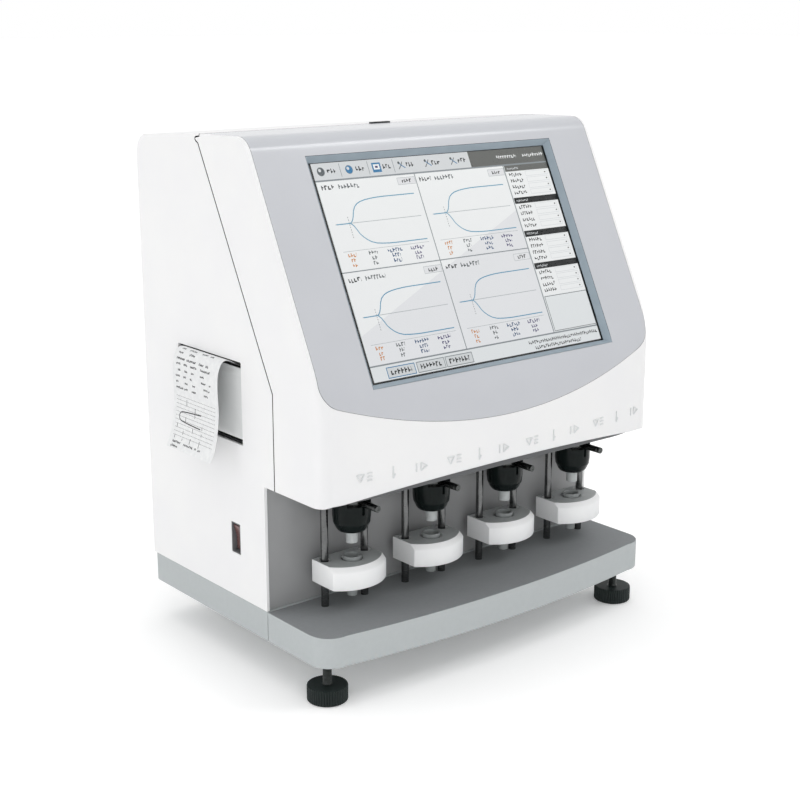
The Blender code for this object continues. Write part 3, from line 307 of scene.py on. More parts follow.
def filleted(outline, radius, steps=3, closed=False):
    # every corner of an outline rounded, by less where its sides are short
    straight, mostOfSide = math.radians(170), 0.45
    rounded = []
    for index, point in enumerate(outline):
        sides = [(end[0] - point[0], end[1] - point[1])
                 for end in (outline[index - 1], outline[(index + 1) % len(outline)])]
        (ax, ay), (bx, by) = sides
        lengths = [math.hypot(*side) for side in sides]
        angle = math.pi
        if closed or index not in (0, len(outline) - 1):
            cosine = (ax * bx + ay * by) / lengths[0] / lengths[1]
            angle = math.acos(max(-1, min(1, cosine)))
        if angle > straight:
            rounded.append(point)
            continue
        cutBack = min([radius / math.tan(angle / 2)] + [mostOfSide * length for length in lengths])
        start, stop = [
            (point[0] + side[0] / length * cutBack, point[1] + side[1] / length * cutBack)
            for side, length in zip(sides, lengths)]
        for step in range(steps + 1):
            t = step / steps
            rounded.append(tuple(
                (1 - t) ** 2 * a + 2 * t * (1 - t) * b + t * t * c
                for a, b, c in zip(start, point, stop)))
    return rounded


def lathe(profile, centreX, centreY, steps=64, fillet=0.0003):
    # a profile of (radius, height) pairs turned about an upright line
    onAxis = profile[0][0] == 0
    profile = filleted(profile, fillet, closed=not onAxis)
    points, rings = [], []
    for radius, height in profile:
        start = len(points)
        if radius == 0:
            points.append((centreX, centreY, height))
            rings.append([start] * steps)
        else:
            circle = arc(centreX, centreY, radius, 0, 2 * math.pi, steps)[:-1]
            points += [(x, y, height) for x, y in circle]
            rings.append(list(range(start, start + steps)))
    pairs = list(zip(rings, rings[1:]))
    if not onAxis:
        pairs.append((rings[-1], rings[0]))
    faces = []
    for lower, upper in pairs:
        for step in range(steps):
            following = (step + 1) % steps
            corners = list(dict.fromkeys(
                (lower[step], lower[following], upper[following], upper[step])))
            if len(corners) > 2:
                faces.append(tuple(corners))
    return points, faces


def laidDown(shape, x, y, z, facing=1):
    # a turned shape laid along y: its height runs back, or forward where facing is -1
    points, faces = shape
    return [(x + a, y + facing * c, z + b) for a, b, c in points], faces


# pieces
def linked(name, data):
    thing = bpy.data.objects.new(name, data)
    bpy.context.scene.collection.objects.link(thing)
    return thing


def meshFrom(name, shape, merged=True, outward=True):
    points, faces = shape
    mesh = bpy.data.meshes.new(name)
    mesh.from_pydata([(x, y + frontY, z) for x, y, z in points], [], faces)
    shaped = bmesh.new()
    shaped.from_mesh(mesh)
    if merged:
        bmesh.ops.remove_doubles(shaped, verts=shaped.verts, dist=1e-7)
    if outward:
        bmesh.ops.recalc_face_normals(shaped, faces=shaped.faces)
    shaped.to_mesh(mesh)
    shaped.free()
    return mesh


def makePiece(name, shape, finish, bodyName="frame", replaced=(), edge=0.0,
              sharp=35, finishOf=None, closed=True):
    mesh = meshFrom(name, shape, outward=closed)
    for material in finish if isinstance(finish, (list, tuple)) else [finish]:
        mesh.materials.append(material)
    mesh.shade_smooth()
    mesh.set_sharp_from_angle(angle=math.radians(sharp))
    if finishOf:
        for face in mesh.polygons:
            face.material_index = finishOf(face.center, face.normal)
    piece = linked(name, mesh)
    if edge:
        softenEdges(piece, edge, sharp)
    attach(piece, bodyName)
    if replaced:
        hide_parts(*replaced)
    return piece


def softenEdges(piece, width, sharp=35):
    bevel = piece.modifiers.new("edges", "BEVEL")
    bevel.width = width
    bevel.segments = 3
    bevel.limit_method = "ANGLE"
    bevel.angle_limit = math.radians(sharp)
    bevel.harden_normals = True


def cutOut(piece, *shapes):
    # takes shapes out of a piece for good, before its edges are softened
    for shape in shapes:
        mesh = meshFrom("cutter", shape, merged=False)
        cutter = linked("cutter", mesh)
        boolean = piece.modifiers.new("cut", "BOOLEAN")
        boolean.operation = "DIFFERENCE"
        boolean.solver = "EXACT"
        boolean.object = cutter
        graph = bpy.context.evaluated_depsgraph_get()
        result = bpy.data.meshes.new_from_object(piece.evaluated_get(graph))
        piece.modifiers.remove(boolean)
        old = piece.data
        piece.data = result
        bpy.data.meshes.remove(old)
        bpy.data.objects.remove(cutter)
        bpy.data.meshes.remove(mesh)
        result.shade_smooth()
        result.set_sharp_from_angle(angle=math.radians(35))


def dress(material, *nodes):
    # carried-over CAD solids take a finish of their own
    for node in nodes:
        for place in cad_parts[node].material_slots:
            place.material = material


# camera, at the photograph's viewing angle
view = {"lens": 66.29, "sensor": 36, "across": -0.9413, "ahead": 0.9842, "height": 0.6246,
        "tilt": math.radians(75.183), "turn": math.radians(-39.223)}
camera = linked("camera", bpy.data.cameras.new("camera"))
camera.data.lens = view["lens"]
camera.data.sensor_width = view["sensor"]
camera.location = (view["across"], frontY - view["ahead"], view["height"])
camera.rotation_euler = (view["tilt"], 0, view["turn"])
bpy.context.scene.camera = camera


# base: two slabs
base = {"bowSteps": 48, "cornerSteps": 12, "corner": 0.022, "rearCorner": 0.008, "rearSteps": 8,
        "jointY": 0.105, "joint": 0.0010, "depth": 0.317, "edge": 0.0007}


def bow(x):
    return body["frontBow"] * (x / body["halfWidth"]) ** 2


def frontEdge(inset, lead, radius, bowSteps, cornerSteps):
    # the bowed front from the left side to the right side, seen from above
    centreX = body["halfWidth"] - inset - radius
    lean = math.atan(2 * body["frontBow"] * centreX / body["halfWidth"] ** 2)
    reach = centreX - radius * math.sin(lean)
    touchY = lead + inset + bow(reach)
    corner = arc(centreX, touchY + radius * math.cos(lean), radius, -math.pi / 2 - lean, 0,
                 cornerSteps)
    across = [reach * (2 * step / bowSteps - 1) for step in range(1, bowSteps)]
    middle = [(x, lead + inset + bow(x)) for x in across]
    return [(-x, y) for x, y in reversed(corner)] + middle + corner


jointFront = base["jointY"] - base["joint"] / 2
jointBack = base["jointY"] + base["joint"] / 2
outline = frontEdge(0, 0, base["corner"], base["bowSteps"], base["cornerSteps"])
outline += [(body["halfWidth"], jointFront), (-body["halfWidth"], jointFront)]
# the slab's top face takes the darker coat: painted shade under the overhang
makePiece("platformSlab", prism(outline, body["underside"], body["baseTop"], "Z"),
          [baseGrey, platformTopPaintedShade], "frame", ["base_platform"], base["edge"],
          finishOf=lambda centre, normal: int(centre[2] > body["baseTop"] - 1e-6))
rearX = body["halfWidth"] - base["rearCorner"]
rearY = base["depth"] - base["rearCorner"]
outline = [(-body["halfWidth"], jointBack), (body["halfWidth"], jointBack)]
for x, start in ((rearX, 0), (-rearX, math.pi / 2)):
    outline += arc(x, rearY, base["rearCorner"], start, start + math.pi / 2, base["rearSteps"])
makePiece("rearSlab", prism(outline, body["underside"], body["baseTop"], "Z"), baseGrey,
          "frame", ["base_rear"], base["edge"])

# levelling feet: ridged knob on a zinc stud
foot = {"radius": 0.0195, "height": 0.0158, "chamfer": 0.0007, "ridges": 48, "depth": 0.0010,
        "perRidge": 6, "sharpness": 0.7, "studRadius": 0.0044, "studTop": 0.059,
        "studSink": 0.001, "studMargin": 0.0010, "pitch": 0.00125, "threadDepth": 0.00045,
        "threadFillet": 0.0001, "threadSteps": 32}


def footShape(x, y):
    count = foot["ridges"] * foot["perRidge"]

    def ring(radius, depth, z):
        points = []
        for step in range(count):
            angle = 2 * math.pi * step / count
            wave = abs(math.sin(angle * foot["ridges"] / 2)) ** foot["sharpness"]
            reach = radius - depth * (1 - wave)
            points.append((x + reach * math.cos(angle), y + reach * math.sin(angle), z))
        return points

    r, h, c, d = foot["radius"], foot["height"], foot["chamfer"], foot["depth"]
    knob = loft([
        ring(r - 4 * c, 0, 0), ring(r - 2.5 * c, 0, 0), ring(r - 0.6 * c, 0.6 * d, c),
        ring(r, d, 1.8 * c), ring(r, d, h - 1.8 * c), ring(r - 0.4 * c, 0.8 * d, h - 0.6 * c),
        ring(r - 2 * c, 0, h), ring(r - 3 * c, 0, h),
        ring(foot["studRadius"] + foot["studMargin"], 0, h)])
    # stud with its thread: rings whose radius steps in and out once a pitch
    stud = []
    z = h - foot["studSink"]
    while z < foot["studTop"]:
        stud.append((foot["studRadius"] - foot["threadDepth"] * (len(stud) % 2), z))
        z += foot["pitch"] / 2
    profile = [(0, stud[0][1])] + stud + [(0, stud[-1][1])]
    return together(knob, lathe(profile, x, y, foot["threadSteps"], foot["threadFillet"]))


for side in ("front_left", "front_right", "rear"):
    x, y = middleOf(f"foot_{side}")
    makePiece(f"levellingFoot_{side}", footShape(x, y), [blackNylon, zincStud], f"foot_{side}",
              [f"foot_{side}"], finishOf=lambda centre, normal, x=x, y=y: int(
                  math.hypot(centre[0] - x, centre[1] - frontY - y) < foot["studRadius"] + gap
                  and centre[2] > foot["height"]))
print("base and feet made")

# shell: skin surface shared by the cover and the fascia
skin = {"columns": 72, "cornerColumns": 14, "roundRows": 14, "roofRows": 4, "bandRows": 10,
        "rimColumns": 6, "seamY": 0.0882, "seamHalfGap": 0.0007, "kneeZ": 0.2884,
        "topY": 0.2013, "topZ": 0.5060, "hook": 0.0050, "roofSeamY": 0.1985,
        "seamDrop": 0.0012, "seamRounding": 0.003, "slopeJoin": 0.115, "archRise": 0.010,
        "archHalf": 0.190,
        "fasciaHalf": 0.2115, "fasciaLow": 0.252, "fasciaRise": 0.036,
        "fasciaRiseHalf": 0.203, "fasciaCorner": 0.025, "lip": 0.0022, "edge": 0.0005,
        "fasciaEdge": 0.0004}
slopeAcross = math.tan(body["slope"])


def cornerCircle():
    radius = body["coverCorner"]
    centreX = body["halfWidth"] - radius
    lean = math.atan(2 * body["frontBow"] * centreX / body["halfWidth"] ** 2)
    reach = centreX - radius * math.sin(lean)
    return centreX, body["coverLead"] + bow(reach) + radius * math.cos(lean), reach


cornerX, cornerY, bowReach = cornerCircle()


def edgeY(x):
    # how far back the front skin lies at x, below the slope
    x = abs(x)
    if x <= bowReach:
        return body["coverLead"] + bow(x)
    across = min(x - cornerX, body["coverCorner"])
    return cornerY - math.sqrt(max(body["coverCorner"] ** 2 - across ** 2, 0))


def skinY(x, slopeY):
    front = edgeY(x)
    near = max(body["creaseBlend"] - abs(front - slopeY), 0) / body["creaseBlend"]
    return max(front, slopeY) + near ** 2 * body["creaseBlend"] / 4


# where the slope passes into the rounding below the roof, and where that meets the roof
roundRun = body["roofRounding"] * math.tan((math.pi / 2 - body["slope"]) / 2)
roundY = (body["roof"] - body["crease"]) * slopeAcross + roundRun
roundZ = body["roof"] - body["roofRounding"]
slopeEndZ = roundZ + body["roofRounding"] * math.sin(body["slope"])
slopeJoinZ = body["crease"] + skin["slopeJoin"]  # the skins' columns run straight up from here


def roofRows():
    # (slopeY, z) from the end of the slope over the rounding to the roof seam
    rows = arc(roundY, roundZ, body["roofRounding"], math.pi - body["slope"], math.pi / 2,
               skin["roundRows"])
    seam = skin["roofSeamY"] - skin["seamHalfGap"]
    count = skin["roofRows"]
    return rows + [(roundY + (seam - roundY) * step / count,
                    body["roof"] - skin["seamDrop"] * step / count)
                   for step in range(1, count + 1)]


def slopePoint(x, z):
    return (x, skinY(x, (z - body["crease"]) * slopeAcross), z)


def roofLines(xs):
    return [[(x, skinY(x, slopeY), z) for x in xs] for slopeY, z in roofRows()]


def fasciaLow(x):
    return skin["fasciaLow"] + skin["fasciaRise"] * (x / skin["fasciaRiseHalf"]) ** 2


def fasciaCorner(steps):
    # (x, z) of the fascia's lower right corner, from the arc to the straight side
    side, radius = skin["fasciaHalf"], skin["fasciaCorner"]
    centreX = side - radius
    lean = math.atan(2 * skin["fasciaRise"] * centreX / skin["fasciaRiseHalf"] ** 2)
    reach = centreX + radius * math.sin(lean)
    return reach, arc(centreX, fasciaLow(reach) + radius * math.cos(lean), radius,
                      lean - math.pi / 2, 0, steps)


fasciaReach, fasciaCornerLine = fasciaCorner(skin["cornerColumns"])


def gridFaces(rows, columns, skip=lambda row, column: False):
    return [
        (row * columns + column, row * columns + column + 1,
         (row + 1) * columns + column + 1, (row + 1) * columns + column)
        for row in range(rows - 1) for column in range(columns - 1) if not skip(row, column)
    ]


def thicken(piece, thickness, width):
    # inward wall and softened rims, which carry the painted seam shade
    solid = piece.modifiers.new("wall", "SOLIDIFY")
    solid.thickness = thickness
    solid.offset = -1
    solid.use_even_offset = True
    solid.material_offset_rim = 1
    softenEdges(piece, width, 40)


# fascia: one sheet over slope and roof with the screen's opening
screen = {"width": 0.3104, "slant": 0.2227, "centre": 0.1476, "depth": 0.006, "taper": 0.0047,
          "lip": 0.0007, "flange": 0.004, "flangeThickness": 0.0016, "glass": 0.0015,
          "glassMargin": 0.004, "glassEdge": 0.0002, "soft": 0.0002, "corner": 0.0006,
          "pictureBehind": 0.00865}
fascia = {"across": 24, "beside": 6, "belowHole": 14, "aboveKnee": 10, "toTop": 6,
          "kneeRise": 0.030}


def onSlope(x, up, behind):
    y = up * math.sin(body["slope"]) + behind * math.cos(body["slope"])
    z = body["crease"] + up * math.cos(body["slope"]) - behind * math.sin(body["slope"])
    return x, y, z


def fasciaShape():
    holeX = screen["width"] / 2
    holeLow, holeHigh = [onSlope(0, screen["centre"] + side * screen["slant"] / 2, 0)[2]
                         for side in (-1, 1)]
    edgeX = skin["fasciaHalf"] - gap
    corner = [(x - gap, z) for x, z in fasciaCornerLine]
    right = [(holeX + (fasciaReach - holeX) * step / fascia["beside"])
             for step in range(1, fascia["beside"])] + [x for x, z in corner]
    xs = [-x for x in reversed(right)]
    xs += [holeX * (2 * step / fascia["across"] - 1) for step in range(fascia["across"] + 1)]
    xs += right
    # each column: its foot on the arch, its knee level with the hole's foot or a little above
    lows, knees = {}, {}
    for x in xs:
        match = [z for cx, z in corner if abs(abs(x) - cx) < 1e-9]
        lows[x] = (match[0] if match else fasciaLow(x)) + gap
        out = max(abs(x) - holeX, 0) / (edgeX - holeX)
        knees[x] = holeLow + fascia["kneeRise"] * out
    rows = []
    for feet, heads, first, count in ((lows, knees, 0, fascia["belowHole"]),
                                      (knees, dict.fromkeys(xs, slopeJoinZ), 1,
                                       fascia["aboveKnee"])):
        for row in range(first, count + 1):
            rows.append([slopePoint(x, feet[x] + (heads[x] - feet[x]) * row / count) for x in xs])
    holeTopRow = len(rows) + fascia["toTop"] - 1
    heights = [slopeJoinZ + (holeHigh - slopeJoinZ) * step / fascia["toTop"]
               for step in range(1, fascia["toTop"] + 1)]
    rows += [[slopePoint(x, z) for x in xs] for z in heights + [(holeHigh + slopeEndZ) / 2]]
    rows += roofLines(xs)
    firstHole, lastHole = xs.index(-holeX), xs.index(holeX)
    return [point for line in rows for point in line], gridFaces(
        len(rows), len(xs), lambda row, column: (
            fascia["belowHole"] <= row < holeTopRow and firstHole <= column < lastHole))


fasciaPiece = makePiece("fasciaSheet", fasciaShape(), [grey, seamPaintedShade], "frame",
                        ["fascia_panel"], sharp=60, closed=False)
thicken(fasciaPiece, body["wall"], skin["fasciaEdge"])


# front cover: arched band, thin rims beside the fascia, and both cheeks
def seamLine(behind):
    # up the cheek, one step back below the roof, and over in a hook to the roof's own joint
    line = [(skin["seamY"], body["shellLow"]), (skin["seamY"], skin["kneeZ"])]
    line += [(skin["topY"] + skin["hook"] * back, skin["topZ"] + skin["hook"] * up)
             for back, up in ((0, 0), (0.66, 0.32), (1, 0.64), (1, 0.96), (0.56, 1.14))]
    line += [(skin["roofSeamY"], body["roof"] - body["wall"] - gap),
             (skin["roofSeamY"], body["roof"] - skin["seamDrop"])]
    return filleted(sideways(line, behind), skin["seamRounding"], 4)


def coverShape():
    half, radius = body["halfWidth"], body["coverCorner"]
    rimSteps = skin["rimColumns"]
    rimAngle = math.asin((skin["fasciaHalf"] - cornerX) / radius)
    rim = [cornerX + radius * math.sin(rimAngle + (math.pi / 2 - rimAngle) * s / rimSteps)
           for s in range(1, rimSteps)] + [half]
    right = [x for x, z in fasciaCornerLine[1:]] + rim
    xs = [-x for x in reversed(right)]
    xs += [fasciaReach * (2 * step / skin["columns"] - 1) for step in range(skin["columns"] + 1)]
    xs += right
    columns = len(xs)
    cornerTops = {round(x, 9): z for x, z in fasciaCornerLine}
    sideTop = fasciaCornerLine[-1][1]

    def top(x):
        x = abs(x)
        return cornerTops.get(round(x, 9), sideTop if x > skin["fasciaHalf"] else fasciaLow(x))

    def low(x):
        share = min(abs(x) / skin["archHalf"], 1)
        return body["shellLow"] + skin["archRise"] * (1 - share ** 2)

    # the lower edge rolls in, and the roll runs out round the corner
    lip, lipRows, runOutRate = skin["lip"], 4, 1.6
    points = []
    for row in range(lipRows):
        angle = math.pi / 2 * (1 - row / lipRows)
        for x in xs:
            px, y, z = slopePoint(x, low(x) + lip * (1 - math.sin(angle)))
            runOut = max(1 - max(abs(x) - bowReach, 0) / (half - bowReach) * runOutRate, 0)
            points.append((px, y + lip * (1 - math.cos(angle)) * runOut, z))
    for row in range(skin["bandRows"] + 1):
        for x in xs:
            start = low(x) + lip
            points.append(slopePoint(x, start + (top(x) - start) * row / skin["bandRows"]))
    lastRow = lipRows + skin["bandRows"]
    faces = gridFaces(lastRow + 1, columns)
    # beyond the band's top the rims climb the slope, then the rounding and the roof
    lowSteps, highSteps = 14, 5
    heights = [sideTop + (slopeJoinZ - sideTop) * step / lowSteps
               for step in range(1, lowSteps + 1)]
    heights += [slopeJoinZ + (slopeEndZ - slopeJoinZ) * step / highSteps
                for step in range(1, highSteps)]
    seam = seamLine(-skin["seamHalfGap"])[:-1]
    cheeks = []
    for side in (-1, 1):
        rimXs = [side * x for x in [skin["fasciaHalf"]] + rim]
        if side < 0:
            indexOf = list(range(rimSteps, -1, -1))
        else:
            indexOf = list(range(columns - rimSteps - 1, columns))
        previous = [lastRow * columns + index for index in indexOf]
        profile = [row * columns + indexOf[-1] for row in range(lastRow + 1)]
        for line in [[slopePoint(x, z) for x in rimXs] for z in heights] + roofLines(rimXs):
            current = list(range(len(points), len(points) + rimSteps + 1))
            points += line
            for column in range(rimSteps):
                face = (previous[column], previous[column + 1], current[column + 1],
                        current[column])
                faces.append(face if side > 0 else face[::-1])
            previous = current
            profile.append(current[-1])
        cheeks.append((side, profile))
    for side, profile in cheeks:
        start = len(points)
        points += [(side * half, y, z) for y, z in seam]
        cheek = tuple(profile) + tuple(range(start + len(seam) - 1, start - 1, -1))
        faces.append(cheek[::-1] if side > 0 else cheek)
    return points, faces


coverPiece = makePiece("frontCoverSkin", coverShape(), [white, seamPaintedShade], "frame",
                       ["front_cover"], sharp=60, closed=False)
thicken(coverPiece, body["wall"], skin["edge"])
print("cover and fascia made")

# rear housing: folded sheet with its openings
housing = {"rearY": 0.3166, "roundY": 0.0190, "roundZ": 0.0205, "drop": 0.0073, "lip": 0.017,
           "nicheY": 0.1054, "steps": 16, "edge": 0.0008}
printerPlace = {"frontY": 0.1395, "backY": 0.2514, "low": 0.228, "high": 0.3085,
                "corner": 0.0015}
switchPlace = {"frontY": 0.1484, "backY": 0.1640, "low": 0.1158, "high": 0.1470,
               "corner": 0.0008}
latch = {"half": 0.0120, "depth": 0.0048, "height": 0.0078, "flange": 0.002,
         "flangeTop": 0.0043, "edge": 0.0004}


def rearProfile(inset):
    arcY = housing["rearY"] - housing["roundY"]
    arcZ = body["roof"] - housing["drop"] - housing["roundZ"]
    angles = [math.pi / 2 * step / housing["steps"] for step in range(housing["steps"] + 1)]
    return [(arcY + (housing["roundY"] - inset) * math.sin(angle),
             arcZ + (housing["roundZ"] - inset) * math.cos(angle)) for angle in angles]


low = body["baseTop"] + gap
outline = [(housing["nicheY"], low), (housing["nicheY"], body["shellLow"])]
outline += seamLine(skin["seamHalfGap"]) + rearProfile(0) + [(housing["rearY"], low)]
# the housing's front-facing edges above the deck take the painted seam shade
housingPiece = makePiece("rearHousingShell",
                         prism(outline, -body["halfWidth"], body["halfWidth"], "X"),
                         [white, seamPaintedShade], "frame", ["rear_housing"],
                         finishOf=lambda centre, normal: int(
                             normal.y < -0.3 and centre[2] > body["shellLow"] + body["wall"]))
inside = body["halfWidth"] - body["wall"]
roofUnder = body["roof"] - body["wall"]
lipLow = body["roof"] - housing["drop"] - housing["roundZ"] - housing["lip"]
hollow = [(-beyond, body["underside"]), (-beyond, roofUnder), (skin["roofSeamY"], roofUnder)]
hollow += rearProfile(body["wall"])
hollow += [(housing["rearY"] - body["wall"], lipLow), (housing["rearY"] + beyond, lipLow),
           (housing["rearY"] + beyond, body["underside"])]
cutOut(housingPiece, prism(hollow, -inside, inside, "X"))
for place in (printerPlace, switchPlace):
    hole = filleted([(place["frontY"], place["low"]), (place["backY"], place["low"]),
                     (place["backY"], place["high"]), (place["frontY"], place["high"])],
                    place["corner"], 4, True)
    cutOut(housingPiece, prism(hole, -body["halfWidth"] - beyond, beyond - body["halfWidth"], "X"))
latchFront = skin["roofSeamY"] + skin["seamHalfGap"]
latchBack = latchFront + latch["depth"]
cutOut(housingPiece, block(-latch["half"] - gap, latch["half"] + gap,
                           skin["roofSeamY"] - beyond, latchBack + gap,
                           body["roof"] - 2 * body["wall"], body["roof"] + beyond))
softenEdges(housingPiece, housing["edge"], 40)

# the latch's button stands proud of the sunk joint, its flange holds it below the roof
latchLow = body["roof"] - latch["height"]
flangeHalf = latch["half"] + latch["flange"]
makePiece("roofLatchButton", together(
    block(-latch["half"], latch["half"], latchFront, latchBack, latchLow, body["roof"]),
    block(-flangeHalf, flangeHalf, latchFront + gap, latchBack + latch["flange"],
          latchLow - gap, body["roof"] - latch["flangeTop"])),
    blackAbs, "roof_latch", ["roof_latch"], latch["edge"])

# niche: deck, wall behind
deck = {"lead": 0.015, "back": 0.118, "thickness": 0.006, "edge": 0.0006, "cornerSteps": 10}
inset = body["wall"] + gap
outline = [(x, max(y, deck["lead"])) for x, y in frontEdge(
    inset, body["coverLead"], body["coverCorner"] - inset, base["bowSteps"], deck["cornerSteps"])]
outline += [(inside - gap, deck["back"]), (gap - inside, deck["back"])]
makePiece("deckPlate", prism(outline, body["shellLow"], body["shellLow"] + deck["thickness"], "Z"),
          deckGrey, "frame", ["head_deck"], deck["edge"])
dress(nicheGrey, "niche_wall")
print("housing and niche made")

# stations: rods, carriage, cup holder, head, pin and lever
station = {"rodReach": 0.024, "rodY": 0.0833, "rodRadius": 0.00375, "rodBore": 0.00405,
           "low": 0.0952, "thickness": 0.0225, "half": 0.032, "backY": 0.0935,
           "arcY": 0.0904, "arcRadius": 0.0446, "chamfer": 0.0045, "arcSteps": 36,
           "rounding": 0.0012, "soften": 0.0001, "recessRadius": 0.006, "recessDepth": 0.003,
           "edge": 0.0005}
cup = {"grooveRadius": 0.01085, "grooveDepth": 0.004, "pocketRadius": 0.00955,
       "neckRadius": 0.0053, "radius": 0.00925, "height": 0.0221, "seat": 0.0041,
       "boreRadius": 0.007, "boreDepth": 0.017, "spindleRadius": 0.005,
       "spindleDrop": 0.0147, "ring": 0.0007, "ringLow": 0.0052, "ringHigh": 0.0034,
       "ringSlant": 0.0004, "mouth": 0.0006, "mouthDepth": 0.0008, "fillet": 0.0004}
head = {"top": 0.1957, "radius": 0.0187, "barrel": 0.0337, "shoulderRadius": 0.0152,
        "shoulder": 0.0462, "bulgeRadius": 0.0180, "bulge": 0.0402, "rimRadius": 0.0132,
        "height": 0.0487, "bore": 0.0064, "stemBore": 0.0033, "stemTop": 0.004,
        "leverDrop": 0.0183, "hubHeight": 0.0078, "hubRadius": 0.014, "leverRadius": 0.00325,
        "leverLength": 0.0408, "sweep": math.radians(50), "slitWidth": 0.003,
        "slitDepth": 0.0025, "slitHeight": 0.0087, "slitSteps": 8, "overlap": 0.003,
        "windowSteps": 24, "windowReach": 0.002, "fillet": 0.0012, "edge": 0.0003}
pin = {"radius": 0.00585, "drop": 0.0615, "shoulderDrop": 0.0236, "stemRadius": 0.0022,
       "stemDrop": 0.0046, "foot": 0.0008, "rimInner": 0.0022, "rimWidth": 0.0016,
       "fillet": 0.0006}
lever = {"bore": 0.003, "start": 0.010, "grooveDepth": 0.0004, "fillet": 0.0004,
         "groove": (0.0040, 0.0036, 0.0032, 0.0028), "dimple": (0.0016, 0.0012),
         "dimpleDepth": 0.0006}
carriageTop = station["low"] + station["thickness"]
cupSeat = station["low"] + cup["seat"]
leverZ = head["top"] - head["leverDrop"]
hubLow, hubHigh = leverZ - head["hubHeight"] / 2, leverZ + head["hubHeight"] / 2


def carriageShape(x):
    def ring(trim, inward, z):
        outline = []
        half = station["half"] - inward
        radius = station["arcRadius"] - trim - inward
        for step in range(station["arcSteps"] + 1):
            across = half * (2 * step / station["arcSteps"] - 1)
            outline.append((across, station["arcY"] - math.sqrt(radius ** 2 - across ** 2)))
        back = station["backY"] - inward
        outline += [(half, back), (-half, back)]
        rounded = filleted(outline, station["rounding"], 4, True)
        return [(x + a, b, z) for a, b in rounded]

    low, top, e, c, s = (station["low"], carriageTop, station["edge"], station["chamfer"],
                         station["soften"])
    return loft([ring(0, e, low), ring(0, 0.3 * e, low + 0.3 * e), ring(0, 0, low + e),
                 ring(0, 0, top - c - 4 * s), ring(3 * s, 0, top - c + 2 * s),
                 ring(c - 6 * s, 0, top - 5 * s), ring(c - 3 * s, s, top - s),
                 ring(c, 4 * s, top)])


def addCarriage(number, x):
    # the flat top alone is a darker grey: painted shade from the head and deck above it
    piece = makePiece(f"liftCarriage_{number}", carriageShape(x), [whiteAcetal, topAcetalPaintedShade],
                      f"carriage_{number}", [f"carriage_{number}"],
                      finishOf=lambda centre, normal: int(normal.z > 0.95))
    under, over = station["low"] - beyond, carriageTop + beyond
    recess = carriageTop - station["recessDepth"]
    groove = carriageTop - cup["grooveDepth"]
    shelf = cupSeat - gap
    for rodX in (x - station["rodReach"], x + station["rodReach"]):
        cutOut(piece, lathe(
            [(0, under), (station["rodBore"], under), (station["rodBore"], recess),
             (station["recessRadius"], recess), (station["recessRadius"], over), (0, over)],
            rodX, station["rodY"], 48, 0))
    cutOut(piece, lathe(
        [(0, under), (cup["neckRadius"], under), (cup["neckRadius"], shelf),
         (cup["pocketRadius"], shelf), (cup["pocketRadius"], groove),
         (cup["grooveRadius"], groove), (cup["grooveRadius"], over), (0, over)], x, headY, 64, 0))


def addCup(number, x):
    # collar with a turned ring below its rim, on its spindle
    rim = cupSeat + cup["height"]
    spindleLow = station["low"] - cup["spindleDrop"]
    r, ring, slant, bore = cup["radius"], cup["ring"], cup["ringSlant"], cup["boreRadius"]
    makePiece(f"cupCollar_{number}", lathe(
        [(0, spindleLow), (cup["spindleRadius"], spindleLow), (cup["spindleRadius"], cupSeat),
         (r, cupSeat), (r, rim - cup["ringLow"]), (r - ring, rim - cup["ringLow"] + slant),
         (r - ring, rim - cup["ringHigh"] - slant), (r, rim - cup["ringHigh"]), (r, rim),
         (bore + cup["mouth"], rim), (bore, rim - cup["mouthDepth"]),
         (bore, rim - cup["boreDepth"]), (0, rim - cup["boreDepth"])],
        x, headY, 64, cup["fillet"]),
        cupAcetal, f"cup_{number}", [f"cup_holder_{number}"])


def addHead(number, x):
    top = head["top"]
    cavityLow, cavityHigh = hubLow - gap, hubHigh + gap
    cavity = head["hubRadius"] + gap
    piece = makePiece(f"measuringHead_{number}", lathe(
        [(0, top), (head["radius"], top), (head["radius"], top - head["barrel"]),
         (head["bulgeRadius"], top - head["bulge"]),
         (head["shoulderRadius"], top - head["shoulder"]),
         (head["rimRadius"], top - head["height"]), (head["bore"], top - head["height"]),
         (head["bore"], cavityLow), (cavity, cavityLow), (cavity, cavityHigh),
         (head["stemBore"], cavityHigh), (head["stemBore"], top - head["stemTop"]),
         (0, top - head["stemTop"])], x, headY, 72, head["fillet"]),
        blackHead, "frame", [f"head_housing_{number}"])
    # the window that the lever sweeps, and the slit below it
    start, stop = -math.pi / 2 - head["sweep"], -math.pi / 2 + head["sweep"]
    reach, steps = head["windowReach"], head["windowSteps"]
    window = arc(x, headY, cavity - reach, start, stop, steps)
    window += arc(x, headY, head["radius"] + reach, stop, start, steps)
    windowLow = leverZ - head["leverRadius"] - gap
    cutOut(piece, prism(window, windowLow, leverZ + head["leverRadius"] + gap, "Z"))
    slitBack = headY - head["radius"] + head["slitDepth"]
    slitHalf = head["slitWidth"] / 2
    slitTop = windowLow + head["overlap"]
    slit = [(x - slitHalf, slitTop), (x + slitHalf, slitTop)]
    slit += arc(x, windowLow - head["slitHeight"] + slitHalf, slitHalf, 0, -math.pi,
                head["slitSteps"])
    cutOut(piece, prism(slit, slitBack - beyond, slitBack, "Y"))
    softenEdges(piece, head["edge"], 40)


def addPin(number, x):
    low = head["top"] - pin["drop"]
    shoulder, stemTop = head["top"] - pin["shoulderDrop"], head["top"] - pin["stemDrop"]
    r, foot = pin["radius"], low + pin["foot"]
    makePiece(f"sensorPin_{number}", lathe(
        [(0, foot), (r - pin["rimInner"], foot), (r - pin["rimWidth"], low), (r, low),
         (r, shoulder), (pin["stemRadius"], shoulder), (pin["stemRadius"], stemTop),
         (0, stemTop)], x, headY, 48, pin["fillet"]), paleAcetal, f"pin_{number}",
        [f"sensor_pin_{number}"])


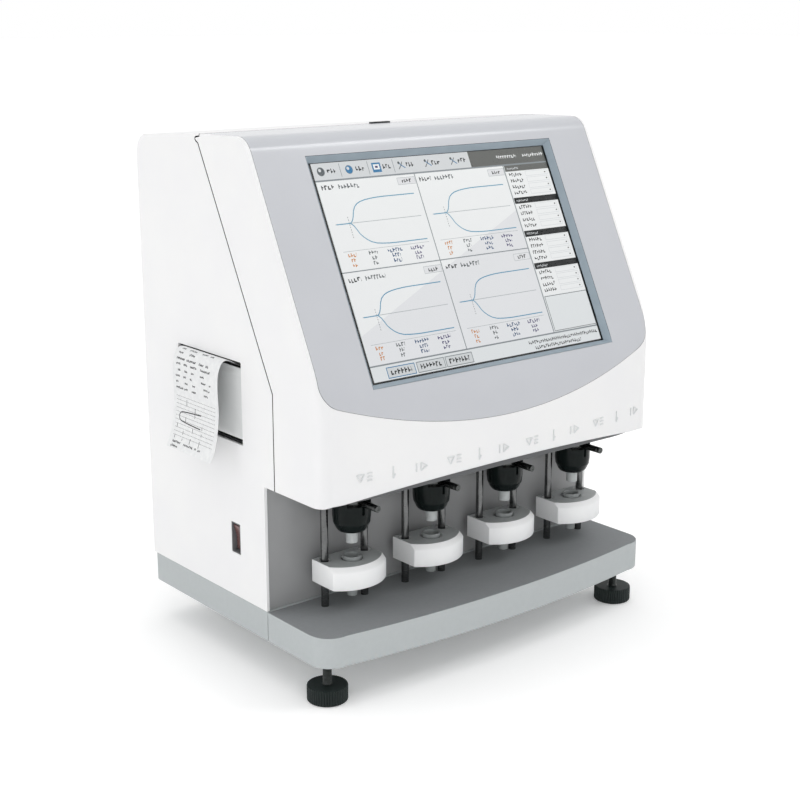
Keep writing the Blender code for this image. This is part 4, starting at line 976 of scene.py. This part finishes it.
def addLever(number, x):
    # hub in the head, and the rod that stands out of the window with a groove near its tip
    r, tip, bore, start = head["leverRadius"], head["leverLength"], lever["bore"], lever["start"]
    hub = lathe([(bore, hubLow), (head["hubRadius"], hubLow), (head["hubRadius"], hubHigh),
                 (bore, hubHigh)], x, headY, 64)
    neck, dimple = r - lever["grooveDepth"], tip - lever["dimpleDepth"]
    groove = [(radius, tip - along) for radius, along in zip((r, neck, neck, r), lever["groove"])]
    rod = lathe([(0, start), (r, start)] + groove + [
        (r, tip), (lever["dimple"][0], tip), (lever["dimple"][1], dimple), (0, dimple)],
        0, 0, 40, lever["fillet"])
    makePiece(f"lockLever_{number}", together(hub, laidDown(rod, x, headY, leverZ, -1)),
              darkSteel, f"lever_{number}", [f"lever_{number}"])


for number, x in enumerate(stationX, 1):
    for side in ("left", "right"):
        node, r = f"guide_rod_{side}_{number}", station["rodRadius"]
        rodLow, rodHigh = [corner[2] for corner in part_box(node)]
        makePiece(f"guideShaft_{side}_{number}",
                  lathe([(0, rodLow), (r, rodLow), (r, rodHigh), (0, rodHigh)],
                        middleOf(node)[0], station["rodY"], 40),
                  rodSteel, "frame", [node])
    for add in (addCarriage, addCup, addHead, addPin, addLever):
        add(number, x)
print("stations made")


# screen surround: one mitred moulding set into the fascia, and the glass behind it
def screenRing(margin, behind):
    across = screen["width"] / 2 + margin
    up = screen["slant"] / 2 + margin
    corners = filleted([(-across, -up), (across, -up), (across, up), (-across, up)],
                       screen["corner"], 2, True)
    return [onSlope(x, screen["centre"] + rise, behind) for x, rise in corners]


lip, depth, soft, taper = screen["lip"], screen["depth"], screen["soft"], screen["taper"]
back = depth + lip
flangeFront = back - screen["flangeThickness"]
makePiece("screenSurround", loft([screenRing(margin, behind) for margin, behind in (
    (-gap, soft), (-gap - soft, 0), (-gap - lip + soft, 0), (-gap - lip, soft),
    (-gap - taper + 2 * soft, depth - 2.5 * soft), (-gap - taper, depth), (-gap - taper, back),
    (screen["flange"], back), (screen["flange"], flangeFront), (-gap, flangeFront))],
    closed=True), bezelAbs, "frame", ["screen_bezel"], sharp=25)
makePiece("touchGlass", loft([screenRing(screen["glassMargin"], back + gap + behind)
                              for behind in (0, screen["glass"])]),
          glassClear, "frame", ["touch_glass"], screen["glassEdge"])
dress(blackAbs, "lcd_panel")

# picture on the display, laid out in steps of 0.2 mm from the top left of what shows
picture = {"step": 0.0002, "left": 751, "top": 531.5, "layer": 0.00002, "discSteps": 20}
colours = {
    "paleGround": ("#EEF2F2", "#E2E6E8"), "white": ("#F7F9F9", "#EFF1F2"),
    "shade": ("#EAEBED", "#E6E8EB"), "toolGrey": ("#DCDFE1", "#D2D6D8"),
    "line": ("#8F969A", "#868D91"), "header": ("#686A67", "#636562"),
    "barDark": ("#15191B", "#121618"), "blue": ("#3B7FAE", "#3779A6"),
    "deepBlue": ("#1F4C7C", "#1C4670"), "navy": ("#453C72", "#3E376A"),
    "orange": ("#D0863A", "#C67E34"),
    "greyMark": ("#5E6568", "#585F62"), "darkMark": ("#22272A", "#1E2326"),
    "trace": ("#64A3BE", "#4E8FB2"), "axis": ("#B4BABD", "#ACB2B5"),
}
drawn = {name: ([], []) for name in colours}


def patch(colour, outline, layer):
    points, faces = drawn[colour]
    faces.append(tuple(range(len(points), len(points) + len(outline))))
    behind = screen["pictureBehind"] - layer * picture["layer"]
    for px, py in outline:
        up = screen["centre"] + (picture["top"] - py) * picture["step"]
        points.append(onSlope((px - picture["left"]) * picture["step"], up, behind))


def bar(colour, left, top, right, bottom, layer=2):
    patch(colour, [(left, bottom), (right, bottom), (right, top), (left, top)], layer)


def framed(rim, fill, left, top, right, bottom, edge):
    bar(rim, left, top, right, bottom)
    bar(fill, left + edge, top + edge, right - edge, bottom - edge, 3)


def ribbon(colour, line, width, layer=4):
    # a line of even width as one strip of quads
    for (ax, ay), (bx, by) in zip(line, line[1:]):
        length = math.hypot(bx - ax, by - ay)
        sideX, sideY = (by - ay) / length * width / 2, -(bx - ax) / length * width / 2
        outline = [(ax - sideX, ay - sideY), (bx - sideX, by - sideY),
                   (bx + sideX, by + sideY), (ax + sideX, ay + sideY)]
        area = sum(a[0] * b[1] - b[0] * a[1] for a, b in zip(outline, outline[1:] + outline[:1]))
        patch(colour, outline if area < 0 else outline[::-1], layer)


def disc(colour, centreX, centreY, radius, layer=3):
    circle = arc(centreX, centreY, radius, 0, -2 * math.pi, picture["discSteps"])
    patch(colour, circle[:-1], layer)


def marks(colour, left, top, right, bottom, layer=3):
    # a word's worth of small strokes, like writing too small to read
    height = bottom - top
    x = left
    while x < right - 2:
        width = min(height * random.uniform(0.45, 0.75), right - x)
        rise = random.choice((0, 0, 0.18, 0.30)) * height
        drop = random.choice((0, 0, 0, 0.22)) * height
        bar(colour, x, top + rise, x + width * 0.44, bottom - drop, layer)
        level = top + rise + height * random.choice((0, 0.3, 0.55))
        bar(colour, x, level, x + width, level + height * 0.28, layer)
        x += width + height * 0.22


# grounds, and the tool bar with its round, square and crossed signs
bar("paleGround", 22, 0, 1497, 1052, 0)
bar("white", 28, 90, 1190, 975, 1)
# the pane is drawn a little greyer below a slanting line: a painted reflection of the glass
patch("shade", [(28, 975), (1190, 975), (1190, 326), (28, 832)], 1.5)
bar("toolGrey", 22, 0, 982, 82, 1)
bar("header", 982, 0, 1497, 82, 1)
marks("white", 1165, 32, 1300, 50)
marks("white", 1345, 32, 1490, 50)
for left, colour in ((45, "greyMark"), (208, "blue")):
    disc("line", left + 23, 41, 22, 2)
    disc(colour, left + 23, 41, 20, 3)
    disc("toolGrey", left + 18, 35, 8, 4)
bar("blue", 368, 18, 420, 66)
bar("white", 376, 26, 412, 52, 3)
bar("navy", 386, 34, 402, 44, 4)
for left in (520, 685, 850):
    ribbon("greyMark", [(left + 6, 60), (left + 24, 40), (left + 34, 24)], 4.5)
    ribbon("blue", [(left + 10, 26), (left + 24, 40), (left + 46, 56)], 5)
    disc("greyMark", left + 12, 28, 7, 5)
for left, right in ((103, 150), (270, 318), (432, 480), (575, 625), (735, 790), (905, 955)):
    marks("darkMark", left, 29, right, 52)
for x in (180, 345, 497):
    bar("line", x - 1.5, 8, x + 1.5, 74)
for corners in ((22, 82, 1497, 90), (22, 527, 1190, 532), (22, 975, 1497, 982),
                (605, 90, 610, 982), (1188, 90, 1194, 982)):
    bar("line", *corners)

# four channel windows: heading, both halves of the curve, its axes and a table of results
curve = {"stem": [(68, 300), (148, 300)], "width": 4.8,
         "upper": [(156, 296), (166, 286), (175, 270), (186, 243), (200, 222), (218, 209),
                   (240, 200), (268, 194), (300, 190), (340, 187), (380, 186), (570, 186)],
         "lower": [(156, 305), (166, 316), (175, 332), (186, 354), (200, 370), (218, 386),
                   (240, 399), (268, 408), (300, 412), (340, 415), (380, 416), (570, 416)]}
for a in (0, 584):
    for d in (0, 448):
        marks("darkMark", 45 + a, 108 + d, 118 + a, 130 + d)
        marks("greyMark", 142 + a, 108 + d, 260 + a, 130 + d)
        framed("axis", "shade", 493 + a, 102 + d, 602 + a, 138 + d, 2)
        marks("darkMark", 520 + a, 111 + d, 578 + a, 129 + d, 4)
        bar("axis", 62 + a, 298 + d, 575 + a, 301 + d)
        for top in range(268 + d, 376 + d, 12):
            bar("greyMark", 142 + a, top, 144.5 + a, top + 7, 3)
        for line in (curve["stem"] + curve["upper"], curve["stem"][1:] + curve["lower"]):
            ribbon("trace", [(px + a, py + d) for px, py in line], curve["width"])
        bar("axis", 62 + a, 431 + d, 575 + a, 433 + d)
        for py, share in ((450, 1), (475, 0.55), (500, 0.55)):
            for colour, px, half in (("orange", 108, 24), ("greyMark", 230, 26),
                                     ("deepBlue", 360, 44), ("navy", 495, 40)):
                marks(colour, px - half * share + a, py - 9 + d, px + half * share + a,
                      py + 9 + d)

# right column: four groups of fields, a window below them, and the buttons at the foot
bar("white", 1197, 90, 1497, 785, 1)
for top, heading, rows in ((90, "header", (140, 172, 205, 237)),
                           (263, "barDark", (313, 347, 380, 413)),
                           (440, "barDark", (488, 522, 555, 587)),
                           (612, "barDark", (661, 693, 725, 757))):
    bar(heading, 1197, top, 1497, top + 32)
    marks("toolGrey", 1212, top + 11, 1290, top + 22)
    for row in rows:
        marks("barDark", 1215, row - 9, 1300, row + 9)
        framed("toolGrey", "white", 1328, row - 13, 1482, row + 13, 2)
        bar("darkMark", 1462, row - 3, 1470, row + 3, 4)
framed("greyMark", "paleGround", 1200, 788, 1498, 971, 3)
for left, right, rim in ((108, 275, "blue"), (285, 455, "line"), (460, 630, "line")):
    framed(rim, "toolGrey", left, 993, right, 1046, 4)
    marks("barDark", left + 22, 1007, right - 22, 1031, 4)
marks("barDark", 1005, 997, 1488, 1014)
marks("barDark", 1040, 1025, 1360, 1042)
for name, shape in drawn.items():
    makePiece(f"displayPicture_{name}", shape, litColour("lit" + name[0].upper() + name[1:],
              *colours[name]), "frame", sharp=180, closed=False)
print("screen made")

# relief marks over each station, in a greyer enamel than the cover's: painted shade of the raised
# strokes; the strokes' heights and both triangles' are shares of the height of a mark
relief = {"height": 0.0082, "stroke": 0.0011, "rise": 0.0010, "middle": 0.2192, "sink": 0.0003,
          "size": 0.55, "left": (-0.0345, 0.1, -math.pi / 2), "right": (0.0330, 0, 0),
          "strokes": ((-0.0275, -0.42, -0.0225, -0.42), (-0.0275, 0, -0.0225, 0),
                      (-0.0275, 0.42, -0.0225, 0.42), (0, 0.7, 0, -0.7),
                      (0, -0.7, 0.0022, -0.2), (0.0255, 0.5, 0.0255, -0.5))}


def reliefBar(ax, az, bx, bz):
    # one straight stroke that follows the bowed front
    length = math.hypot(bx - ax, bz - az)
    sideX = (bz - az) / length * relief["stroke"] / 2
    sideZ = -(bx - ax) / length * relief["stroke"] / 2
    rings = []
    for x, z in ((ax, az), ((ax + bx) / 2, (az + bz) / 2), (bx, bz)):
        ring = []
        for share, proud in ((-1, -relief["sink"]), (-0.9, relief["rise"]),
                             (0.9, relief["rise"]), (1, -relief["sink"])):
            px = x + sideX * share
            ring.append((px, edgeY(px) - proud, z + sideZ * share))
        rings.append(ring)
    return loft(rings)


def reliefTriangle(x, across, up, turn):
    size = relief["height"] * relief["size"]
    corners = [(x + across + size * math.cos(turn + third * 2 * math.pi / 3),
                relief["middle"] + relief["height"] * up
                + size * math.sin(turn + third * 2 * math.pi / 3)) for third in range(3)]
    return [reliefBar(*corners[third], *corners[(third + 1) % 3]) for third in range(3)]


for number, x in enumerate(stationX, 1):
    z, h = relief["middle"], relief["height"]
    strokes = [reliefBar(x + ax, z + az * h, x + bx, z + bz * h)
               for ax, az, bx, bz in relief["strokes"]]
    makePiece(f"stationRelief_{number}", together(
        *reliefTriangle(x, *relief["left"]), *strokes, *reliefTriangle(x, *relief["right"])),
        reliefPaintedShade, "frame")

# printer: well, door, platen, roll and the printed strip
printer = {"inset": 0.004, "paperWidth": 0.080, "platenRadius": 0.004, "platenInset": 0.009,
           "platenDrop": 0.0115, "platenShort": 0.0049, "journal": 0.0018,
           "journalLength": 0.003}
roll = {"radius": 0.021, "core": 0.006, "inset": 0.028, "drop": 0.0455, "turns": 26,
        "firstTurn": 0.0075, "lastTurn": 0.0003, "turnDepth": 0.00012, "edge": 0.0002}
door = {"thickness": 0.0034, "lowSlot": 0.005, "highSlot": 0.0065, "sideGap": 0.0005,
        "shoulder": 0.0072, "bulge": 0.0003, "lowTaper": 0.0012, "highTaper": 0.0018,
        "rounding": 0.0020, "earThickness": 0.002, "earReach": 0.0105, "earHeight": 0.012,
        "earInset": 0.0026, "earDrop": 0.0024, "earSink": 0.0008, "edge": 0.0005}
dress(blackAbs, "printer_body")
face = printer["inset"] - body["halfWidth"]
middleY = (printerPlace["frontY"] + printerPlace["backY"]) / 2
halfPaper = printer["paperWidth"] / 2


def rollEnd(side):
    # from the core outwards; the wound paper shows as fine rings
    line = [(roll["core"], side * halfPaper)]
    for turn in range(roll["turns"] + 1):
        radius = roll["firstTurn"] + (
            roll["radius"] - roll["lastTurn"] - roll["firstTurn"]) * turn / roll["turns"]
        line.append((radius, side * (halfPaper - (roll["turnDepth"] if turn % 2 else 0))))
    return line + [(roll["radius"], side * (halfPaper - roll["edge"]))]


makePiece("paperRoll", laidDown(lathe(rollEnd(-1) + rollEnd(1)[::-1], 0, 0, 64, 0),
                                face + roll["inset"], middleY, printerPlace["high"] - roll["drop"]),
          paper, "paper_roll", ["paper_roll"])

doorInner = face - gap
doorOuter = doorInner - door["thickness"]
doorLow = printerPlace["low"] + door["lowSlot"]
doorHigh = printerPlace["high"] - door["highSlot"]
doorLine = filleted([
    (doorInner, doorLow), (doorOuter + door["lowTaper"], doorLow),
    (doorOuter, doorLow + door["shoulder"]),
    (doorOuter - door["bulge"], (doorLow + doorHigh) / 2),
    (doorOuter, doorHigh - door["shoulder"]), (doorOuter + door["highTaper"], doorHigh),
    (doorInner, doorHigh)], door["rounding"], 6, True)
earTop = doorHigh - door["earDrop"]
ears = [block(doorInner - door["earSink"], doorInner + door["earReach"], front,
              front + door["earThickness"], earTop - door["earHeight"], earTop)
        for front in (printerPlace["frontY"] + door["earInset"],
                      printerPlace["backY"] - door["earInset"] - door["earThickness"])]
makePiece("printerDoor", together(prism(
    doorLine, printerPlace["frontY"] + door["sideGap"], printerPlace["backY"] - door["sideGap"],
    "Y"), *ears), doorAbs, "printer_door", ["printer_door"], door["edge"], 40)

platenX = printer["platenInset"] - body["halfWidth"]
platenZ = printerPlace["high"] - printer["platenDrop"]
platenHalf = (printerPlace["backY"] - printerPlace["frontY"]) / 2 - printer["platenShort"]
rubberHalf = platenHalf - printer["journalLength"]
platenEnd = [(printer["platenRadius"], rubberHalf), (printer["journal"], rubberHalf),
             (printer["journal"], platenHalf), (0, platenHalf)]
makePiece("platenRoller", laidDown(lathe([(radius, -along) for radius, along in platenEnd[::-1]]
                                         + platenEnd, 0, 0, 40), platenX, middleY, platenZ),
          rubber, "platen", ["platen_roller"])

# the path is in millimetres: out from the side, and down from the printer's opening
strip = {"thickness": 0.0003, "wrapStart": math.radians(165), "wrapStop": math.radians(118),
         "path": ((-3.5, 3.6), (-1.0, 2.0), (2.2, 0.5), (6.1, -0.1), (9.2, 0.8), (11.1, 2.6),
                  (14.0, 8.1), (15.5, 14.8), (16.2, 25.0), (15.9, 37.9), (15.7, 51.0),
                  (16.9, 63.8), (18.9, 76.6), (21.7, 86.5), (26.2, 97.1)), "perSpan": 6,
         "inkHeight": 0.00006, "strokeSpan": 3}
wrap = printer["platenRadius"] + gap + strip["thickness"] / 2
knots = arc(platenX, platenZ, wrap, math.pi - strip["wrapStart"], math.pi - strip["wrapStop"], 3)
knots += [(-body["halfWidth"] - out / 1000, printerPlace["high"] - down / 1000)
          for out, down in strip["path"]]


def smoothLine(knots, perSpan):
    # a cubic curve through the knots, its run at each set by the knots beside it
    line = []
    for index in range(len(knots) - 1):
        p0 = knots[max(index - 1, 0)]
        p1, p2 = knots[index], knots[index + 1]
        p3 = knots[min(index + 2, len(knots) - 1)]
        for step in range(perSpan):
            t = step / perSpan
            line.append(tuple(
                0.5 * (2 * b + (c - a) * t + (2 * a - 5 * b + 4 * c - d) * t * t
                       + (3 * b - a - 3 * c + d) * t ** 3)
                for a, b, c, d in zip(p0, p1, p2, p3)))
    return line + [knots[-1]]


stripLine = smoothLine(knots, strip["perSpan"])
half = strip["thickness"] / 2
outline = sideways(stripLine, half) + sideways(stripLine, -half)[::-1]
makePiece("printedStrip", prism(outline, middleY - halfPaper, middleY + halfPaper, "Y"), paper,
          "printer_door", ["paper_strip"], sharp=40)

# print lies on the strip's outer face; along is the distance from its lower end
outerFace = sideways(stripLine, half + strip["inkHeight"])[::-1]
lengths = [0]
for near, far in zip(outerFace, outerFace[1:]):
    lengths.append(lengths[-1] + math.hypot(far[0] - near[0], far[1] - near[1]))
printPoints, printFaces = [], []


def onStrip(across, along):
    x, z = outerFace[-1]
    for near, far, start, stop in zip(outerFace, outerFace[1:], lengths, lengths[1:]):
        if stop >= along:
            x, z = [a + (b - a) * ((along - start) / (stop - start)) for a, b in zip(near, far)]
            break
    return x, middleY - across, z


def stroke(fromAcross, fromAlong, toAcross, toAlong, width):
    # one printed line, in millimetres; across runs from the left edge as it hangs
    across, along = toAcross - fromAcross, toAlong - fromAlong
    count = max(1, int(abs(along) / strip["strokeSpan"]))
    length = math.hypot(across, along)
    sideAcross, sideAlong = along / length * width / 2, -across / length * width / 2
    ends = [(fromAcross + across * (piece / count), fromAlong + along * (piece / count))
            for piece in range(count + 1)]
    for near, far in zip(ends, ends[1:]):
        start = len(printPoints)
        printFaces.append((start, start + 1, start + 2, start + 3))
        for (a, b), side in ((near, -1), (far, -1), (far, 1), (near, 1)):
            printPoints.append(onStrip((a + side * sideAcross) / 1000 - halfPaper,
                                       (b + side * sideAlong) / 1000))


def printedWord(left, along, length, height=2.0, weight=0.8):
    x = left
    while x < left + length:
        width = random.uniform(0.5, 1.1) * height * 0.6
        stroke(x, along, x, along + height * random.uniform(0.6, 1.0), weight)
        stroke(x, along + random.choice((0, 0.5, 0.9)) * height, x + width,
               along + random.choice((0, 0.5, 0.9)) * height + 0.01, weight)
        x += width + height * 0.35


for along, words in (
    (100, ((8, 6), (22, 12), (44, 8), (58, 5))), (95, ((7, 7), (26, 8))),
    (89, ((6, 14), (24, 16), (46, 8), (58, 4))), (84, ((6, 8), (20, 6), (32, 10), (50, 16))),
    (78, ((10, 4), (22, 5), (34, 4), (50, 6))), (72, ((6, 6), (20, 5), (32, 3), (52, 7), (66, 3))),
    (66, ((6, 3), (22, 5), (36, 4), (56, 10))), (60, ((6, 12), (20, 5), (34, 7), (56, 6))),
    (6, ((7, 14), (27, 16), (47, 3), (53, 3))), (1.6, ((6, 12),)),
):
    for left, length in words:
        printedWord(left, along, length)
# the chart: a dashed grid, short bars and one long loop
chart = {"rows": 11, "top": 52.4, "pitch": 3.9, "left": 5, "right": 73, "dash": 1.7,
         "dashPitch": 2.6, "fine": 0.35, "medium": 0.7, "bold": 1.1, "perSpan": 5,
         "bars": ((23.6, 44.3, 50.7), (39, 35, 45), (23, 28.8, 33.3), (37, 20, 24.7),
                  (9, 21, 24.8), (21, 15.8, 19.4), (53, 26.4, 30), (53, 20, 22.8),
                  (36, 9, 14.6), (52, 9, 15.3), (8, 10, 13.6), (22, 10, 12)),
         "loop": ((50, 40.2), (36, 39.3), (22, 38.2), (15, 37.2), (11.8, 34.8), (11.5, 32),
                  (12.5, 30), (16, 28.6), (24, 27.9), (36, 27.3), (50, 26.9))}
for row in range(chart["rows"]):
    along = chart["top"] - row * chart["pitch"]
    dash = chart["left"]
    while dash < chart["right"]:
        stroke(dash, along, dash + chart["dash"], along + 0.001, chart["fine"])
        dash += chart["dashPitch"]
for across, low, high in chart["bars"]:
    stroke(across, low, across, high, chart["medium"])
loop = smoothLine(chart["loop"], chart["perSpan"])
for (ax, ay), (bx, by) in zip(loop, loop[1:]):
    stroke(ax, ay, bx, by, chart["bold"])
makePiece("stripPrint", (printPoints, printFaces), ink, "printer_door", sharp=180,
          closed=False)
print("printer made")

# power switch: grey frame and its rocker
switch = {"rim": 0.001, "depth": 0.019, "cavity": 0.012, "pivot": 0.008, "face": 0.0032,
          "half": 0.0130, "tilt": math.radians(8), "back": 0.0025, "backHalf": 0.006,
          "sideGap": 0.0003, "rounding": 0.0012, "edge": 0.0003, "rockerEdge": 0.0004}


def switchBlock(margin, front, back):
    return block(front, back, switchPlace["frontY"] + margin, switchPlace["backY"] - margin,
                 switchPlace["low"] + margin, switchPlace["high"] - margin)


switchFace = -body["halfWidth"]
rim = gap + switch["rim"]
switchPiece = makePiece("switchFrame", switchBlock(gap, switchFace, switchFace + switch["depth"]),
                        switchAbs, "frame", ["switch_bezel"])
cutOut(switchPiece, switchBlock(rim, switchFace - beyond, switchFace + switch["cavity"]))
softenEdges(switchPiece, switch["edge"], 40)
pivotX = switchFace + switch["pivot"]
pivotZ = (switchPlace["low"] + switchPlace["high"]) / 2
end = switch["face"] + switch["half"] * math.tan(switch["tilt"])
rockerLine = [(-switch["face"], 0), (-end, switch["half"]), (-end / 2, switch["half"]),
              (switch["back"], switch["backHalf"]), (switch["back"], -switch["backHalf"]),
              (-end / 2, -switch["half"]), (-end, -switch["half"])]
tiltCos, tiltSin = math.cos(switch["tilt"]), math.sin(switch["tilt"])
outline = filleted([(pivotX + x * tiltCos - z * tiltSin, pivotZ + x * tiltSin + z * tiltCos)
                    for x, z in rockerLine], switch["rounding"], 4, True)
makePiece("powerRocker", prism(outline, switchPlace["frontY"] + rim + switch["sideGap"],
                               switchPlace["backY"] - rim - switch["sideGap"], "Y"),
          redRocker, "power_rocker", ["power_rocker"], switch["rockerEdge"], 40)

# rear: panel, screws, inlet, port, fan and what lies inside
dress(white, "rear_panel")
dress(blackAbs, "power_inlet", "data_port", "fan_frame", "fan_rotor")
dress(zincSheet, "electronics_tray", "power_supply")
dress(greenBoard, "main_board", "sensor_board")
screw = {"radius": 0.0030, "height": 0.0016, "sink": 0.0006, "steps": 24, "fillet": 0.0002,
         "crossWidth": 0.0009, "crossLength": 0.0036, "crossReach": 0.01,
         "sides": (0.203, (0.085, 0.200, 0.330, 0.465)), "middles": (0.1, (0.0795, 0.479)),
         "fan": (0.110, 0.280), "fanSpacing": 0.0357}
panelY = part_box("rear_panel")[1][1] - frontY
places = []
for out, heights in (screw["sides"], screw["middles"]):
    places += [(side * out, z) for side in (-1, 1) for z in heights]
fanX, fanZ, spacing = screw["fan"][0], body["underside"] + screw["fan"][1], screw["fanSpacing"]
places += [(fanX + sx * spacing, fanZ + sz * spacing) for sx in (-1, 1) for sz in (-1, 1)]
r, h = screw["radius"], screw["height"]
dome = [(0, -screw["sink"]), (r, -screw["sink"]), (r, h * 0.35), (r * 0.86, h * 0.72),
        (r * 0.55, h), (0, h * 1.02)]
crossLow, crossHigh = panelY + h * 0.35, panelY + screw["crossReach"]
for number, (x, z) in enumerate(places, 1):
    # a domed head with its cross, its dome facing back
    piece = makePiece(f"panelScrew_{number}",
                      laidDown(lathe(dome, 0, 0, screw["steps"], screw["fillet"]), x, panelY, z),
                      zincStud, "frame")
    across, up = screw["crossLength"] / 2, screw["crossWidth"] / 2
    cutOut(piece, block(x - across, x + across, crossLow, crossHigh, z - up, z + up),
           block(x - up, x + up, crossLow, crossHigh, z - across, z + across))
print("rear made")


# floor and world: what the eye meets directly, by reflection or through glass is plain white
def eyeRays(material):
    rays = addNode(material, "LightPath")
    seen = rays.outputs["Is Camera Ray"]
    for kind in ("Is Glossy Ray", "Is Transmission Ray"):
        seen = addNode(material, "Math", {0: seen, 1: rays.outputs[kind]},
                       operation="MAXIMUM").outputs["Value"]
    return seen


floor = {"half": 30, "glow": 0.14}
floorMaterial, floorShader = newMaterial("paleFloor", "#FBFBFB", Roughness=0.9)
colourDrift(floorMaterial, floorShader, "#FCFCFC", "#FAFAFA", 400)
floorShader.inputs["Emission Color"].default_value = linear("#FFFFFF")
addNode(floorMaterial, "MapRange", {"Value": eyeRays(floorMaterial), "To Max": floor["glow"]},
        {"Result": floorShader.inputs["Emission Strength"]})
floorMesh = bpy.data.meshes.new("floor")
floorMesh.from_pydata([(x * floor["half"], y * floor["half"], 0)
                       for x, y in ((-1, -1), (1, -1), (1, 1), (-1, 1))], [], [(0, 1, 2, 3)])
floorMesh.materials.append(floorMaterial)
floorPiece = linked("floor", floorMesh)

# lobes of light as (direction, power, amount): a wide one overhead, low ones from the front
# left and the rear left, a small one round the rim lamp, and a dim one: the room behind the
# camera
light = {"dome": 0.36, "lobes": (((0, 0, 1), 4, 1.56), ((-0.52, -0.84, 0.17), 16, 2.95),
                                 ((-0.80, 0.50, 0.33), 16, 1.85),
                                 ((0.61, -0.43, 0.665), 48, 0.9), ((0.35, -0.93, -0.1), 2, -0.18)),
         "rim": 0.27, "rimTurn": (math.radians(48.3), 0, math.radians(54.8)),
         "rimSpread": math.radians(13)}
world = bpy.data.worlds.new("studio")
bpy.context.scene.world = world
world.use_nodes = True
world.node_tree.nodes.clear()
sky = addNode(world, "TexCoord")
glow = light["dome"]
for direction, power, amount in light["lobes"]:
    facing = addNode(world, "VectorMath", {0: sky.outputs["Generated"], 1: direction},
                     operation="DOT_PRODUCT")
    ahead = addNode(world, "Math", {0: facing.outputs["Value"], 1: 0.0}, operation="MAXIMUM")
    lobe = addNode(world, "Math", {0: ahead.outputs["Value"], 1: power}, operation="POWER")
    glow = addNode(world, "Math", {0: lobe.outputs["Value"], 1: amount, 2: glow},
                   operation="MULTIPLY_ADD").outputs["Value"]
strength = addNode(world, "MapRange", {"Value": eyeRays(world), "To Min": glow, "To Max": 1.0})
shine = addNode(world, "Background", {
    "Color": (1, 1, 1, 1), "Strength": strength.outputs["Result"]})
addNode(world, "OutputWorld", {"Surface": shine.outputs["Background"]})
rimLamp = linked("rimLamp", bpy.data.lights.new("rimLamp", "SUN"))
rimLamp.data.energy = light["rim"]
rimLamp.data.angle = light["rimSpread"]
rimLamp.rotation_euler = light["rimTurn"]
bpy.context.scene.view_settings.view_transform = "Standard"
